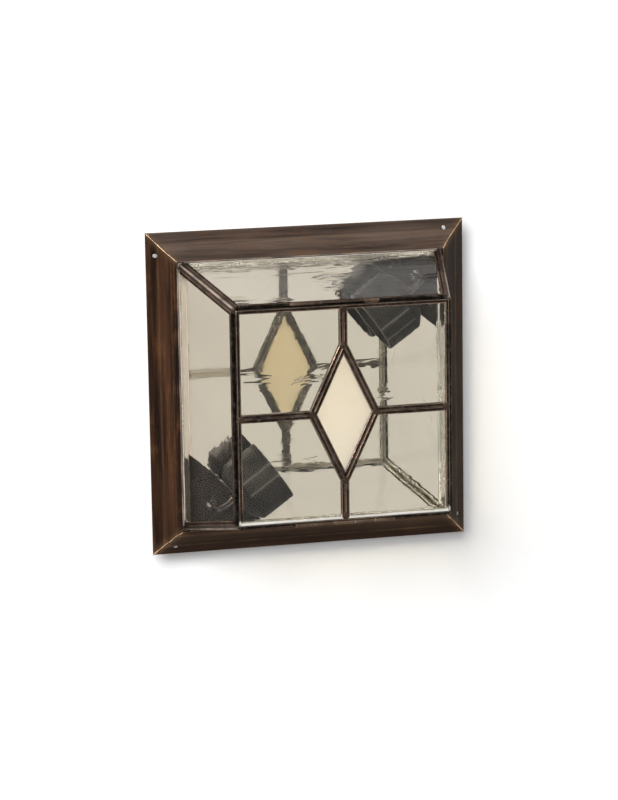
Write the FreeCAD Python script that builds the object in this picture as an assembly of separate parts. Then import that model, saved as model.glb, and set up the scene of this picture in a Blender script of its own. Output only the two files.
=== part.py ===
import FreeCAD
import Part
import math
import os

from FreeCAD import Vector

# Ceiling light: a leaded glass box on a square mitred frame, with a mirror behind the lamps and a glazed
# door below them. All sizes are in millimetres. Z is up, the ceiling is the plane z = 0, and the light hangs
# below it. Seen from below, with X to the right and Y down, the door's bolt is on the upper edge (-Y), called
# the latch side here, and its hinge on the lower edge (+Y), the hinge side.

# Frame of four folded sheet bars
frame_side = 300.0
bar_width = 25.0
bar_rise = 22.0
bar_edge = 1.5
ceiling_flange = 5.0
bar_sheet = 0.8
facet_width_shares = (0.38, 0.42, 0.20)
facet_rise_shares = (0.42, 0.34, 0.24)
mitre_seam = 0.8
seam_proud = 0.25
solder_gap = 0.04
fixing_hole_radius = 1.9
fixing_hole_from_edge = 7.5
fixing_hole_from_end = 20.0
corner_plate_leg = 9.0
corner_plate_sheet = 0.8
corner_plate_inset = 3.2

# Mirror and the pan behind it
mirror_recess = 0.5
mirror_thickness = 3.0
mirror_gap = 1.0
pan_sheet = 0.8
pan_gap = 0.2
pan_rim_gap = 0.5
pan_screw_radius = 1.4
pan_screw_hole_gap = 0.1
pan_screw_head_radius = 2.8
pan_screw_head_height = 1.6
pan_screw_length = 5.0
pan_screw_spread = 70.0

# Glass box: panes 3 mm thick in folded U-channels
light_depth = 134.0
wall_lean = 24.1
wall_seat_gap = 0.1
wall_frame_gap = 0.4
channel_face = 3.7
wall_foot_face = 1.8
channel_thickness = 5.0
channel_web = 1.0
glass_thickness = 3.0
putty_gap = 0.1
lip_round_share = 0.75
narrow_lip_share = 0.99
ridge_bead_inset = 0.25
base_bead_height = 1.3
base_bead_reach = 0.5
base_bead_end_gap = 4.0
body_gap = 0.3

# Glazed door
door_setback = 3.3
diamond_half_width = 29.0
diamond_half_height = 61.0
joint_blob_radius = 3.3
joint_blob_top_radius = 1.8
joint_blob_height = 0.6

# Door hinge and bolt: brass tube and wire
wire_radius = 0.9
wire_fit_gap = 0.06
fixed_tube_radius = 1.9
saddle_half_width = 1.0
knuckle_length = 18.0
knuckle_count = 5
pin_head_radius = 1.5
pin_head_length = 1.2
guide_left = -46.0
guide_length = 27.0
keeper_left = 20.5
keeper_length = 12.5
bolt_tip_overhang = 1.0
bolt_release = 3.0
bolt_handle_radius = 0.8
bolt_handle_length = 9.5
bolt_curl_radius = 2.2
bolt_curl_turn = 215.0

# Lamp holders on corner brackets
bracket_wall_gap = 1.475
bracket_leg = 66.0
bracket_sheet = 1.2
bracket_tab_half_width = 16.0
bracket_tab_over_axis = 14.0
holder_offset = 5.7
holder_turn = 10.0
holder_axis_drop = 31.0
holder_radius = 30.0
holder_back_radius = 22.0
holder_back_length = 8.0
holder_length = 42.0
holder_edge_chamfer = 0.8
holder_floor = 10.0
mouth_radius = 26.0
mouth_depth = 7.5
shell_inner_radius = 13.3
shell_sheet = 0.4
shell_gap = 0.1
shell_length = 24.0
shell_flange_radius = 15.5
contact_radius = 5.0
contact_height = 1.0
contact_button_radius = 3.0
contact_button_height = 1.2
holder_screw_radius = 1.5
holder_screw_spread = 10.0
holder_screw_depth = 7.0
screw_clearance = 0.1
screw_head_radius = 2.9
screw_head_height = 1.8
bracket_screw_from_corner = 35.0
bracket_screw_spread = 26.0
spacer_radius = 3.5
nut_radius = 3.1
nut_height = 2.4
screw_end = 1.0

# Wiring in the pan
lead_radius = 1.1
lead_fit_gap = 0.1
lead_spacing = 3.4
lead_height = 6.7
lead_hole_depth = 6.0
lead_straight_from_block = 9.0
lead_straight_from_grommet = 41.0
lead_bow_place_share = 0.43
lead_bow_side_share = 0.35
lead_sweep_radius = 30.0
lead_drop_radius = 8.0
lead_rise_radius = 11.0
grommet_from_tab = 20.7
grommet_bore_radius = 3.4
grommet_groove_radius = 4.9
grommet_flange_radius = 6.5
grommet_flange = 1.5
tab_hole_radius = 4.2
plate_hole_radius = 5.0
block_half_width = 8.0
block_height = 12.0
block_way = 10.0
block_entry_depth = 4.0
supply_entry_radius = 2.0
supply_entry_depth = 6.0
terminal_screw_radius = 1.7
terminal_screw_height = 3.0
terminal_screw_from_side = 2.85
saddle_length = 8.0
saddle_wall = 2.2
saddles_from_grommet = (15.0, 31.0)
bend_room_share = 0.45
earth_stud_place = (31.0, 17.0)
earth_stud_radius = 2.0
earth_stud_height = 7.0
earth_ring_radius = 4.2
earth_ring_sheet = 0.9
earth_nut_radius = 3.9
earth_nut_height = 3.0
earth_turn_places = (12.0, 19.0)
earth_bend_radius = 7.0

# Cuts run this far past the faces that they leave through
overrun = 2.0

# Levels and places that follow from the sizes above
frame_half = frame_side / 2
opening_half = frame_half - bar_width
mirror_front = -(bar_rise - mirror_recess)
pan_front = mirror_front + mirror_thickness
pan_rear = pan_front + pan_sheet
wall_base = mirror_front - wall_seat_gap
door_front = -light_depth
door_back = door_front + channel_thickness
wall_front = door_back + body_gap
wall_base_half = opening_half - wall_frame_gap
wall_front_half = wall_base_half - wall_lean
taper = math.atan(wall_lean / (wall_base - wall_front))
wall_across = channel_thickness / math.cos(taper)
door_half = wall_front_half - door_setback
bracket_corner_half = wall_base_half - wall_across - bracket_wall_gap
lip_thickness = (channel_thickness - glass_thickness) / 2 - putty_gap
lip_round = lip_round_share * lip_thickness
hinge_axis_half = door_half + body_gap + fixed_tube_radius
hinge_axis_z = wall_front - fixed_tube_radius
door_tube_radius = fixed_tube_radius - body_gap
wire_bore = wire_radius + wire_fit_gap
bolt_travel = keeper_length + bolt_tip_overhang + bolt_release
bolt_handle_x = guide_left + guide_length + body_gap + wire_radius + bolt_travel
bolt_tip_x = keeper_left + keeper_length + bolt_tip_overhang
bracket_altitude = bracket_leg / math.sqrt(2)
holder_axis_z = mirror_front - holder_axis_drop
corner_to_centre = bracket_corner_half * math.sqrt(2)
lead_z = pan_rear + lead_height

SIDES = ("latch", "right", "hinge", "left")
QUARTER = 90.0


def save(name, shapes):
    """Writes one node: a single solid, or like solids as a group."""
    solids = [solid for shape in shapes for solid in shape.Solids]
    shape = solids[0] if len(solids) == 1 else Part.makeCompound(solids)
    shape.exportStep("parts/%s.step" % name)
    volume = sum(solid.Volume for solid in solids)
    state = "valid" if shape.isValid() else "NOT VALID"
    print("%-28s %2d solid %10.1f mm3 %s" % (name, len(solids), volume, state))


def turned(shape, degrees):
    """A copy turned about the upright line through the centre."""
    copy = shape.copy()
    copy.rotate(Vector(0, 0, 0), Vector(0, 0, 1), degrees)
    return copy


def around(shape):
    """Four copies, one for each side or corner."""
    return [turned(shape, QUARTER * k) for k in range(4)]


def prism(points, low, high):
    """An upright prism on a flat outline."""
    corners = [Vector(x, y, low) for x, y in points]
    face = Part.Face(Part.makePolygon(corners + corners[:1]))
    return face.extrude(Vector(0, 0, high - low))


def profile_bar(points, low, high):
    """A bar along X whose section is given as distance from the centre towards -Y, and height."""
    corners = [Vector(low, -r, z) for r, z in points]
    face = Part.Face(Part.makePolygon(corners + corners[:1]))
    return face.extrude(Vector(high - low, 0, 0))


def box(x, y, z):
    """A box between pairs of limits."""
    corner = Vector(min(x), min(y), min(z))
    return Part.makeBox(abs(x[1] - x[0]), abs(y[1] - y[0]), abs(z[1] - z[0]), corner)


def rod(radius, start, end):
    """A round rod between two points."""
    axis = end - start
    return Part.makeCylinder(radius, axis.Length, start, axis)


def shifted_line(a, b, distance):
    """The line through two points, moved to its left."""
    dx, dy = b[0] - a[0], b[1] - a[1]
    length = math.hypot(dx, dy)
    nx, ny = -dy / length, dx / length
    return (a[0] + nx * distance, a[1] + ny * distance), (dx, dy)


def crossing(first, second):
    """Where two lines, each a point and a direction, cross."""
    (px, py), (dx, dy) = first
    (qx, qy), (ex, ey) = second
    t = ((qx - px) * ey - (qy - py) * ex) / (dx * ey - dy * ex)
    return px + dx * t, py + dy * t


def inset(points, distance, first=None):
    """A convex outline, given anticlockwise, drawn in by a distance, or by another one at its first edge."""
    count = len(points)
    reach = [distance] * count
    if first is not None:
        reach[0] = first
    lines = [shifted_line(points[i], points[(i + 1) % count], reach[i]) for i in range(count)]
    return [crossing(lines[i - 1], lines[i]) for i in range(count)]


def beside(points, distance):
    """An open line of points moved to its left, with square ends."""
    lines = [shifted_line(a, b, distance) for a, b in zip(points, points[1:])]
    last, way = shifted_line(points[-2], points[-1], distance)
    end = (last[0] + way[0], last[1] + way[1])
    return [lines[0][0]] + [crossing(a, b) for a, b in zip(lines, lines[1:])] + [end]


def side_wedge(back):
    """The quarter of space on the latch side between the diagonals, drawn back from both of them."""
    reach = frame_side
    return prism([(0, -back), (-reach, -reach - back), (reach, -reach - back)], -reach, reach)


def bar_outline():
    """The bar's outer surface, from the ceiling flange down the facets and up the inner flange."""
    rise = bar_rise - bar_edge
    points = [(frame_half - ceiling_flange, 0), (frame_half, 0), (frame_half, -bar_edge)]
    for width_share, rise_share in zip(facet_width_shares, facet_rise_shares):
        r, z = points[-1]
        points.append((r - width_share * bar_width, z - rise_share * rise))
    points.append((opening_half, -bar_sheet))
    return points


def fixing_hole_place():
    """The hole near the right-hand end of the bar on the latch side."""
    return frame_half - fixing_hole_from_end, -(frame_half - fixing_hole_from_edge)


def pan_screw_level():
    """Pan screws sit half way up the pan's wall."""
    return (pan_front - pan_rim_gap) / 2


def frame_bars():
    outer = bar_outline()
    inner = beside(outer, -bar_sheet)
    bar = profile_bar(outer + inner[::-1], -frame_side, frame_side)
    bar = bar.common(side_wedge(mitre_seam / math.sqrt(2)))
    x, y = fixing_hole_place()
    bar = bar.cut(rod(fixing_hole_radius, Vector(x, y, -bar_rise), Vector(x, y, -bar_sheet)))
    for x in (-pan_screw_spread, pan_screw_spread):
        start = Vector(x, -opening_half + overrun, pan_screw_level())
        end = Vector(x, -opening_half - bar_sheet - overrun, pan_screw_level())
        bar = bar.cut(rod(pan_screw_radius + pan_screw_hole_gap, start, end))
    for k, copy in enumerate(around(bar)):
        save("frame_bar_%s" % SIDES[k], [copy])


def mitre_seams():
    """Solder drawn along each mitre, a little proud of the facets."""
    outer = bar_outline()[1:-1]
    proud = beside(outer, seam_proud)
    inner = beside(outer, -bar_sheet)
    strip = profile_bar(proud + inner[::-1], -frame_side, frame_side)
    strip = strip.common(turned(strip, QUARTER))
    half = mitre_seam / 2 - solder_gap
    slab = box((0, frame_side), (-half, half), (-frame_side, -bar_edge))
    slab.rotate(Vector(0, 0, 0), Vector(0, 0, 1), -QUARTER / 2)
    save("frame_mitre_solder", around(strip.common(slab)))


def corner_plates():
    """Plates soldered under the ceiling flange across each mitre."""
    high = frame_half - corner_plate_inset
    low = high - corner_plate_leg
    plate = prism([(low, -high), (high, -high), (high, -low)], -bar_sheet - corner_plate_sheet, -bar_sheet)
    save("frame_corner_plates", around(plate))


def back_pan():
    """A tray open to the ceiling. The mirror lies on its lower face."""
    half = opening_half - pan_gap
    inside = half - pan_sheet
    pan = box((-half, half), (-half, half), (pan_front, -pan_rim_gap))
    pan = pan.cut(box((-inside, inside), (-inside, inside), (pan_rear, overrun)))
    for turn in range(4):
        for x in (-pan_screw_spread, pan_screw_spread):
            start = Vector(x, -inside + overrun, pan_screw_level())
            end = Vector(x, -half - overrun, pan_screw_level())
            hole = rod(pan_screw_radius + pan_screw_hole_gap, start, end)
            pan = pan.cut(turned(hole, QUARTER * turn))
    for place in corner_frames():
        grommet = beside_tab(-grommet_from_tab, 0, 0)
        tools = [through_pan(grommet, grommet_groove_radius + lead_fit_gap)]
        for point in bracket_screw_places():
            tools.append(through_pan(point, holder_screw_radius + screw_clearance))
        for tool in tools:
            pan = pan.cut(placed(tool, place))
    save("back_pan", [pan])


def through_pan(point, radius):
    """A hole through the pan's plate at a place in a corner's frame."""
    start = Vector(point.x, point.y, pan_front - overrun)
    end = Vector(point.x, point.y, pan_rear + overrun)
    return rod(radius, start, end)


def pan_screws():
    inside = opening_half - pan_gap - pan_sheet
    screws = []
    for x in (-pan_screw_spread, pan_screw_spread):
        seat = Vector(x, -inside, pan_screw_level())
        head_top = seat + Vector(0, pan_screw_head_height, 0)
        tip = seat - Vector(0, pan_screw_length, 0)
        screws.append(rod(pan_screw_head_radius, seat, head_top).fuse(rod(pan_screw_radius, seat, tip)))
    save("pan_screws", [copy for screw in screws for copy in around(screw)])


def corner_frames():
    """Frames of the two lamp corners: X runs from the corner to the centre, Z is up."""
    first = FreeCAD.Placement(Vector(-bracket_corner_half, bracket_corner_half, 0),
                              FreeCAD.Rotation(Vector(0, 0, 1), -QUARTER / 2))
    half_turn = FreeCAD.Placement(Vector(0, 0, 0), FreeCAD.Rotation(Vector(0, 0, 1), 2 * QUARTER))
    return first, half_turn.multiply(first)


def tab_frame():
    """The lamp's own frame in a corner's frame: X runs out from the tab's face along the lamp."""
    return FreeCAD.Placement(Vector(bracket_altitude, holder_offset, 0),
                             FreeCAD.Rotation(Vector(0, 0, 1), holder_turn))


def lamp_frames():
    return [place.multiply(tab_frame()) for place in corner_frames()]


def beside_tab(x, y, z):
    """A point of the lamp's frame, told in its corner's frame."""
    return tab_frame().multVec(Vector(x, y, z))


def placed(shape, place):
    copy = shape.copy()
    copy.Placement = place.multiply(copy.Placement)
    return copy


def mirror():
    """The mirror is clipped at the two corners that carry the lamp brackets."""
    half = opening_half - mirror_gap
    sheet = box((-half, half), (-half, half), (mirror_front, pan_front))
    clip = bracket_screw_from_corner + 2 * spacer_radius
    levels = (mirror_front - overrun, pan_front + overrun)
    corner = box((-frame_side, clip), (-frame_side, frame_side), levels)
    for place in corner_frames():
        sheet = sheet.cut(placed(corner, place))
    save("mirror", [sheet])


def inner_half(z):
    """Half the width between the side walls' inner faces at a height."""
    return wall_base_half - wall_across - (wall_base - z) * math.tan(taper)


def outer_half(z):
    return inner_half(z) + wall_across


def rounded_lips(ring, thickness, lip=channel_face, lean=0.0):
    """Rounds the edges of both faces of a flat ring, as far as its narrowest lip has room for both rounds."""
    both = 1 + math.tan(math.pi / 4 - lean / 2)
    radius = min(lip_round, lip * narrow_lip_share / both)
    near = lip_round / 2
    flat = []
    for edge in ring.Edges:
        heights = [vertex.Point.z for vertex in edge.Vertexes]
        if max(heights) < near or min(heights) > thickness - near:
            flat.append(edge)
    return ring.makeFillet(radius, flat)


def slotted(ring, outline):
    """Cuts the groove that the pane sits in."""
    low = lip_thickness
    return ring.cut(prism(inset(outline, channel_web), low, channel_thickness - low))


def pane(outline):
    low = lip_thickness + putty_gap
    return prism(inset(outline, channel_web + putty_gap), low, low + glass_thickness)


def ring_prism(outline, plate, first=channel_face):
    window = prism(inset(outline, channel_face, first), -overrun, channel_thickness + overrun)
    return plate.cut(window)


def wall_frame():
    """Local frame of the wall on the latch side: Y runs down its inner face, Z points out of the box."""
    s, c = math.sin(taper), math.cos(taper)
    start = Vector(0, -inner_half(wall_base), wall_base)
    return FreeCAD.Placement(FreeCAD.Matrix(-1, 0, 0, start.x,
                                            0, s, -c, start.y,
                                            0, -c, -s, start.z,
                                            0, 0, 0, 1))


def wall_trapezoid(low, high):
    """The wall's outline between two distances down its inner face."""
    s = math.sin(taper)
    top = inner_half(wall_base) - low * s - solder_gap
    bottom = inner_half(wall_base) - high * s - solder_gap
    return [(-top, low), (top, low), (bottom, high), (-bottom, high)]


def side_walls():
    """Four panes, each in its own channel, cut level where they meet the mirror and the door."""
    slope = (wall_base - wall_front) / math.cos(taper)
    middle = channel_thickness / 2 * math.tan(taper)
    outline = wall_trapezoid(-middle, slope - middle)
    spare = channel_thickness
    plate = prism(wall_trapezoid(-spare, slope + spare), 0, channel_thickness)
    frame = wall_frame()
    level = box((-frame_side, frame_side), (-frame_side, frame_side), (wall_front, wall_base))
    plate = plate.common(placed(level, frame.inverse()))
    ring = ring_prism(outline, plate, wall_foot_face)
    channel = slotted(rounded_lips(ring, channel_thickness, wall_foot_face - middle, taper), outline)
    glass = pane(outline)
    for k in range(4):
        save("wall_channel_%s" % SIDES[k], [turned(placed(channel, frame), QUARTER * k)])
        save("wall_glass_%s" % SIDES[k], [turned(placed(glass, frame), QUARTER * k)])


def ridge_beads():
    """Solder that fills the notch between two walls, drawn out to a round ridge."""
    s, c = math.sin(taper), math.cos(taper)
    to_latch = Vector(0, -c, -s)
    to_right = Vector(c, 0, -s)
    outward = (to_latch + to_right).normalize()
    down = Vector(-s, s, -c).normalize()
    half_angle = to_latch.getAngle(to_right) / 2
    radius = channel_thickness - ridge_bead_inset
    foot = Vector(inner_half(wall_base), -inner_half(wall_base), wall_base) - down * channel_thickness
    foot = foot + outward * (2 * solder_gap / math.sin(half_angle))
    tips = [foot + way * radius for way in (to_latch, outward, to_right)]
    arc = Part.Arc(*tips).toShape()
    sides = [Part.makeLine(tips[2], foot), Part.makeLine(foot, tips[0])]
    face = Part.Face(Part.Wire([arc] + sides))
    bead = face.extrude(down * (2 * light_depth))
    level = box((-frame_side, frame_side), (-frame_side, frame_side), (wall_front, wall_base))
    save("wall_ridge_solder", around(bead.common(level)))


def base_beads():
    """Solder between the frame's lip and the foot of each wall."""
    lip = -bar_rise
    top = (wall_base + lip) / 2
    low = lip - base_bead_height
    section = [(opening_half - solder_gap, top),
               (outer_half(top) + solder_gap, top),
               (outer_half(low) + solder_gap, low),
               (opening_half + base_bead_reach, lip - base_bead_reach / 2),
               (opening_half - solder_gap, lip - solder_gap)]
    half = inner_half(wall_base) - base_bead_end_gap
    save("wall_base_solder", around(profile_bar(section, -half, half)))


def door_outlines():
    """The door's four corner panes and its diamond, each anticlockwise seen from above."""
    d, w, h = door_half, diamond_half_width, diamond_half_height
    quarter = [(-d, -d), (0, -d), (0, -h), (-w, 0), (-d, 0)]
    flip = [(-x, y) for x, y in quarter][::-1]
    outlines = {"latch_left": quarter, "latch_right": flip}
    outlines["hinge_right"] = [(-x, -y) for x, y in quarter]
    outlines["hinge_left"] = [(-x, -y) for x, y in flip]
    outlines["diamond"] = [(0, -h), (w, 0), (0, h), (-w, 0)]
    return outlines


def door_panes():
    for name, outline in door_outlines().items():
        outline = inset(outline, solder_gap)
        plate = prism(outline, 0, channel_thickness)
        ring = rounded_lips(ring_prism(outline, plate), channel_thickness)
        channel = slotted(ring, outline)
        glass = pane(outline)
        for shape in (channel, glass):
            shape.translate(Vector(0, 0, door_front))
        save("door_channel_%s" % name, [channel])
        save("door_glass_%s" % name, [glass])


def joint_blob(x, y):
    """A low button of solder on the face of the door's channels."""
    foot = Vector(x, y, door_front)
    return Part.makeCone(joint_blob_radius, joint_blob_top_radius, joint_blob_height, foot, Vector(0, 0, -1))


def door_solder():
    rim = door_half - channel_face
    places = [(0, -diamond_half_height), (diamond_half_width, 0), (0, diamond_half_height),
              (-diamond_half_width, 0), (0, -rim), (rim, 0), (0, rim), (-rim, 0)]
    save("door_solder_joints", [joint_blob(x, y) for x, y in places])


def tube(x, y, radius, saddle):
    """A tube along X with a saddle soldered to it."""
    outer = rod(radius, Vector(x[0], y, hinge_axis_z), Vector(x[1], y, hinge_axis_z))
    bore = rod(wire_bore, Vector(x[0] - overrun, y, hinge_axis_z), Vector(x[1] + overrun, y, hinge_axis_z))
    return outer.fuse(saddle).removeSplitter().cut(bore)


def fixed_tube(x, y):
    """A tube that stands on the front edge of a wall."""
    half = saddle_half_width
    saddle = box(x, (y - half, y + half), (wall_front, hinge_axis_z + wire_bore))
    return tube(x, y, fixed_tube_radius, saddle)


def door_tube(x, side):
    """A tube on the door's edge, clear of the wall below it."""
    y = side * hinge_axis_half
    half = saddle_half_width
    level = (hinge_axis_z - half, hinge_axis_z + half)
    saddle = box(x, (side * door_half, y - side * wire_bore), level)
    return tube(x, y, door_tube_radius, saddle)


def knuckles():
    """Limits along X of the hinge's tubes. The first and last stand on the wall."""
    pitch = knuckle_length + body_gap
    start = -(knuckle_count * pitch - body_gap) / 2
    return [(start + k * pitch, start + k * pitch + knuckle_length) for k in range(knuckle_count)]


def door_hinge():
    spans = knuckles()
    save("wall_hinge_tubes", [fixed_tube(x, hinge_axis_half) for x in spans[0::2]])
    save("door_hinge_tubes", [door_tube(x, 1) for x in spans[1::2]])
    ends = [spans[0][0] - body_gap, spans[-1][1] + body_gap]
    centre = [Vector(x, hinge_axis_half, hinge_axis_z) for x in ends]
    pin = rod(wire_radius, centre[0], centre[1])
    for point, way in zip(centre, (-1, 1)):
        pin = pin.fuse(rod(pin_head_radius, point, point + Vector(way * pin_head_length, 0, 0)))
    save("hinge_pin", [pin.removeSplitter()])


def door_bolt():
    """A wire that slides in a tube on the wall and through a tube on the door. Its handle is bent from it."""
    y = -hinge_axis_half
    guide = (guide_left, guide_left + guide_length)
    save("bolt_guide_tube", [fixed_tube(guide, y)])
    save("bolt_keeper_tube", [door_tube((keeper_left, keeper_left + keeper_length), -1)])
    stop = Vector(guide_left - body_gap, y, hinge_axis_z)
    tip = Vector(bolt_tip_x, y, hinge_axis_z)
    bolt = rod(wire_radius, stop, tip)
    bolt = bolt.fuse(rod(pin_head_radius, stop, stop - Vector(pin_head_length, 0, 0)))
    bolt = bolt.fuse(bolt_handle(y))
    save("door_bolt", [bolt.removeSplitter()])


def bolt_handle(y):
    """The handle runs out from the bolt and curls over to the left."""
    foot = Vector(bolt_handle_x, y, hinge_axis_z)
    neck = foot - Vector(0, bolt_handle_length - bolt_curl_radius, 0)
    section = Part.Face(Part.Wire([Part.makeCircle(bolt_handle_radius, neck, Vector(0, 1, 0))]))
    centre = neck - Vector(bolt_curl_radius, 0, 0)
    curl = section.revolve(centre, Vector(0, 0, -1), bolt_curl_turn)
    return rod(bolt_handle_radius, foot, neck).fuse(curl)


def bracket_screw_places():
    """Two screws hold each bracket down on the pan, either side of the lead hole."""
    x, v = bracket_screw_from_corner, bracket_screw_spread
    return [Vector(x, -v, 0), Vector(x, v, 0)]


def lamp_brackets():
    """A triangular plate over the clipped corner of the mirror, with a tab that the holder is screwed to."""
    a, sheet = bracket_altitude, bracket_sheet
    low = mirror_front - sheet
    half = bracket_tab_half_width
    fold = [beside_tab(0, y, 0) for y in (-half, half)]
    plate = prism([(0, 0), (a, -a), (fold[0].x, fold[0].y), (fold[1].x, fold[1].y), (a, a)], low, mirror_front)
    tab_end = holder_axis_z - bracket_tab_over_axis
    tab = box((-sheet, 0), (-half, half), (tab_end, mirror_front))
    corners = [e for e in tab.Edges if all(abs(v.Point.z - tab_end) < sheet for v in e.Vertexes)
               and abs(e.Vertexes[0].Point.x - e.Vertexes[-1].Point.x) > sheet / 2]
    tab = tab.makeFillet(half / 2, corners)
    across = Vector(overrun, 0, 0)
    for radius, dz in ((tab_hole_radius, 0), (holder_screw_radius + screw_clearance, holder_screw_spread),
                       (holder_screw_radius + screw_clearance, -holder_screw_spread)):
        middle = Vector(0, 0, holder_axis_z + dz)
        tab = tab.cut(rod(radius, middle - across, middle + across))
    bracket = plate.fuse(placed(tab, tab_frame())).removeSplitter()
    hole = beside_tab(-grommet_from_tab, 0, mirror_front)
    reach = Vector(0, 0, overrun)
    bracket = bracket.cut(rod(plate_hole_radius, hole + reach, hole - reach))
    for point in bracket_screw_places():
        seat = point + Vector(0, 0, mirror_front)
        bracket = bracket.cut(rod(holder_screw_radius + screw_clearance, seat + reach, seat - reach))
    for k, place in enumerate(corner_frames()):
        save("lamp_bracket_%d" % (k + 1), [placed(bracket, place)])


def bracket_fastenings():
    screws, spacers, nuts = [], [], []
    shank = holder_screw_radius
    for place in corner_frames():
        for point in bracket_screw_places():
            seat = point + Vector(0, 0, mirror_front - bracket_sheet)
            tip = point + Vector(0, 0, pan_rear + nut_height + screw_end)
            head = rod(screw_head_radius, seat, seat - Vector(0, 0, screw_head_height))
            screws.append(placed(head.fuse(rod(shank, seat, tip)), place))
            low = point + Vector(0, 0, mirror_front)
            high = point + Vector(0, 0, pan_front)
            spacer = rod(spacer_radius, low, high).cut(rod(shank + screw_clearance, low, high))
            spacers.append(placed(spacer, place))
            nuts.append(placed(hex_nut(point, pan_rear, nut_radius, nut_height, shank), place))
    save("bracket_screws", screws)
    save("bracket_spacers", spacers)
    save("bracket_nuts", nuts)


def hex_nut(point, low, radius, height, hole):
    """A hexagon nut lying on a level face."""
    sixth = math.pi / 3
    ways = [(math.cos(k * sixth), math.sin(k * sixth)) for k in range(6)]
    outline = [(point.x + radius * x, point.y + radius * y) for x, y in ways]
    start = Vector(point.x, point.y, low - overrun)
    end = Vector(point.x, point.y, low + height + overrun)
    return prism(outline, low, low + height).cut(rod(hole + solder_gap, start, end))


def turned_part(points, start):
    """A body turned about the lamp holder's axis, from pairs of distance along it and radius."""
    corners = [start + Vector(x, 0, r) for x, r in points]
    face = Part.Face(Part.makePolygon(corners + corners[:1]))
    return face.revolve(start, Vector(1, 0, 0), 4 * QUARTER)


def lamp_holders():
    """Moulded holder bodies with a wide skirt, a brass screw shell and a centre contact."""
    start = Vector(0, 0, holder_axis_z)
    length, radius, chamfer = holder_length, holder_radius, holder_edge_chamfer
    bore = shell_inner_radius + shell_sheet + shell_gap
    step = length - mouth_depth
    back = holder_back_radius
    body = turned_part([(0, 0), (0, back - chamfer), (chamfer, back), (holder_back_length, radius),
                        (length - chamfer, radius),
                        (length, radius - chamfer), (length, mouth_radius), (step, mouth_radius),
                        (step, bore), (holder_floor, bore), (holder_floor, 0)], start)
    for side in (-1, 1):
        lead = start + Vector(0, side * lead_spacing / 2, 0)
        body = body.cut(rod(lead_radius + lead_fit_gap, lead, lead + Vector(lead_hole_depth, 0, 0)))
        screw = start + Vector(0, 0, side * holder_screw_spread)
        end = screw + Vector(holder_screw_depth, 0, 0)
        body = body.cut(rod(holder_screw_radius + screw_clearance, screw, end))
    outer = shell_inner_radius + shell_sheet
    foot, rim = step - shell_length, step + shell_sheet
    shell = turned_part([(foot, shell_inner_radius), (foot, outer), (step, outer),
                         (step, shell_flange_radius), (rim, shell_flange_radius),
                         (rim, shell_inner_radius)], start)
    plate = holder_floor + contact_height
    top = plate + contact_button_height
    contact = turned_part([(holder_floor, 0), (holder_floor, contact_radius), (plate, contact_radius),
                           (plate, contact_button_radius), (top, contact_button_radius / 2), (top, 0)], start)
    for k, place in enumerate(lamp_frames()):
        save("lamp_holder_%d" % (k + 1), [placed(body, place)])
        save("screw_shell_%d" % (k + 1), [placed(shell, place)])
    save("centre_contacts", [placed(contact, place) for place in lamp_frames()])
    holder_screws(start)


def holder_screws(start):
    """Screws that hold the holders to the brackets' tabs."""
    screws = []
    for place in lamp_frames():
        for side in (-1, 1):
            seat = start + Vector(-bracket_sheet, 0, side * holder_screw_spread)
            tip = start + Vector(holder_screw_depth - screw_end, 0, side * holder_screw_spread)
            head = rod(screw_head_radius, seat, seat - Vector(screw_head_height, 0, 0))
            screws.append(placed(head.fuse(rod(holder_screw_radius, seat, tip)), place))
    save("holder_screws", screws)


def grommets():
    """Rubber rings in the pan's lead holes."""
    x, y = -grommet_from_tab, 0
    rear = pan_rear + lead_fit_gap / 2
    front = pan_front - lead_fit_gap / 2
    ring = rod(grommet_flange_radius, Vector(x, y, rear), Vector(x, y, rear + grommet_flange))
    ring = ring.fuse(rod(grommet_groove_radius, Vector(x, y, front), Vector(x, y, rear)))
    ring = ring.fuse(rod(grommet_flange_radius, Vector(x, y, front - grommet_flange), Vector(x, y, front)))
    reach = 2 * grommet_flange
    ring = ring.cut(rod(grommet_bore_radius, Vector(x, y, front - reach), Vector(x, y, rear + reach)))
    save("lead_grommets", [placed(ring, place) for place in lamp_frames()])


def bent_tube(points, radii, radius):
    """Straight runs joined by tangent arcs, as one round tube."""
    edges = []
    bends = []
    start = points[0]
    for before, point, after, bend in zip(points, points[1:], points[2:], radii):
        arrive = (point - before).normalize()
        leave = (after - point).normalize()
        half_turn = arrive.getAngle(leave) / 2
        room = bend_room_share * min((point - before).Length, (after - point).Length)
        tangent = min(bend * math.tan(half_turn), room)
        bend = tangent / math.tan(half_turn)
        bends.append(bend)
        first = point - arrive * tangent
        last = point + leave * tangent
        inward = (leave - arrive).normalize()
        centre = point + inward * (bend / math.cos(half_turn))
        edges.append(Part.makeLine(start, first))
        edges.append(Part.Arc(first, centre - inward * bend, last).toShape())
        start = last
    edges.append(Part.makeLine(start, points[-1]))
    path = Part.Wire(edges)
    ring = Part.makeCircle(radius, points[0], points[1] - points[0])
    pipe = path.makePipeShell([Part.Wire([ring])], True, False)
    wanted = math.pi * radius * radius * path.Length
    print("  tube length %.1f, smallest bend %.1f, volume %.4f of its section times its length"
          % (path.Length, min(bends), pipe.Volume / wanted))
    return pipe


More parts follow.
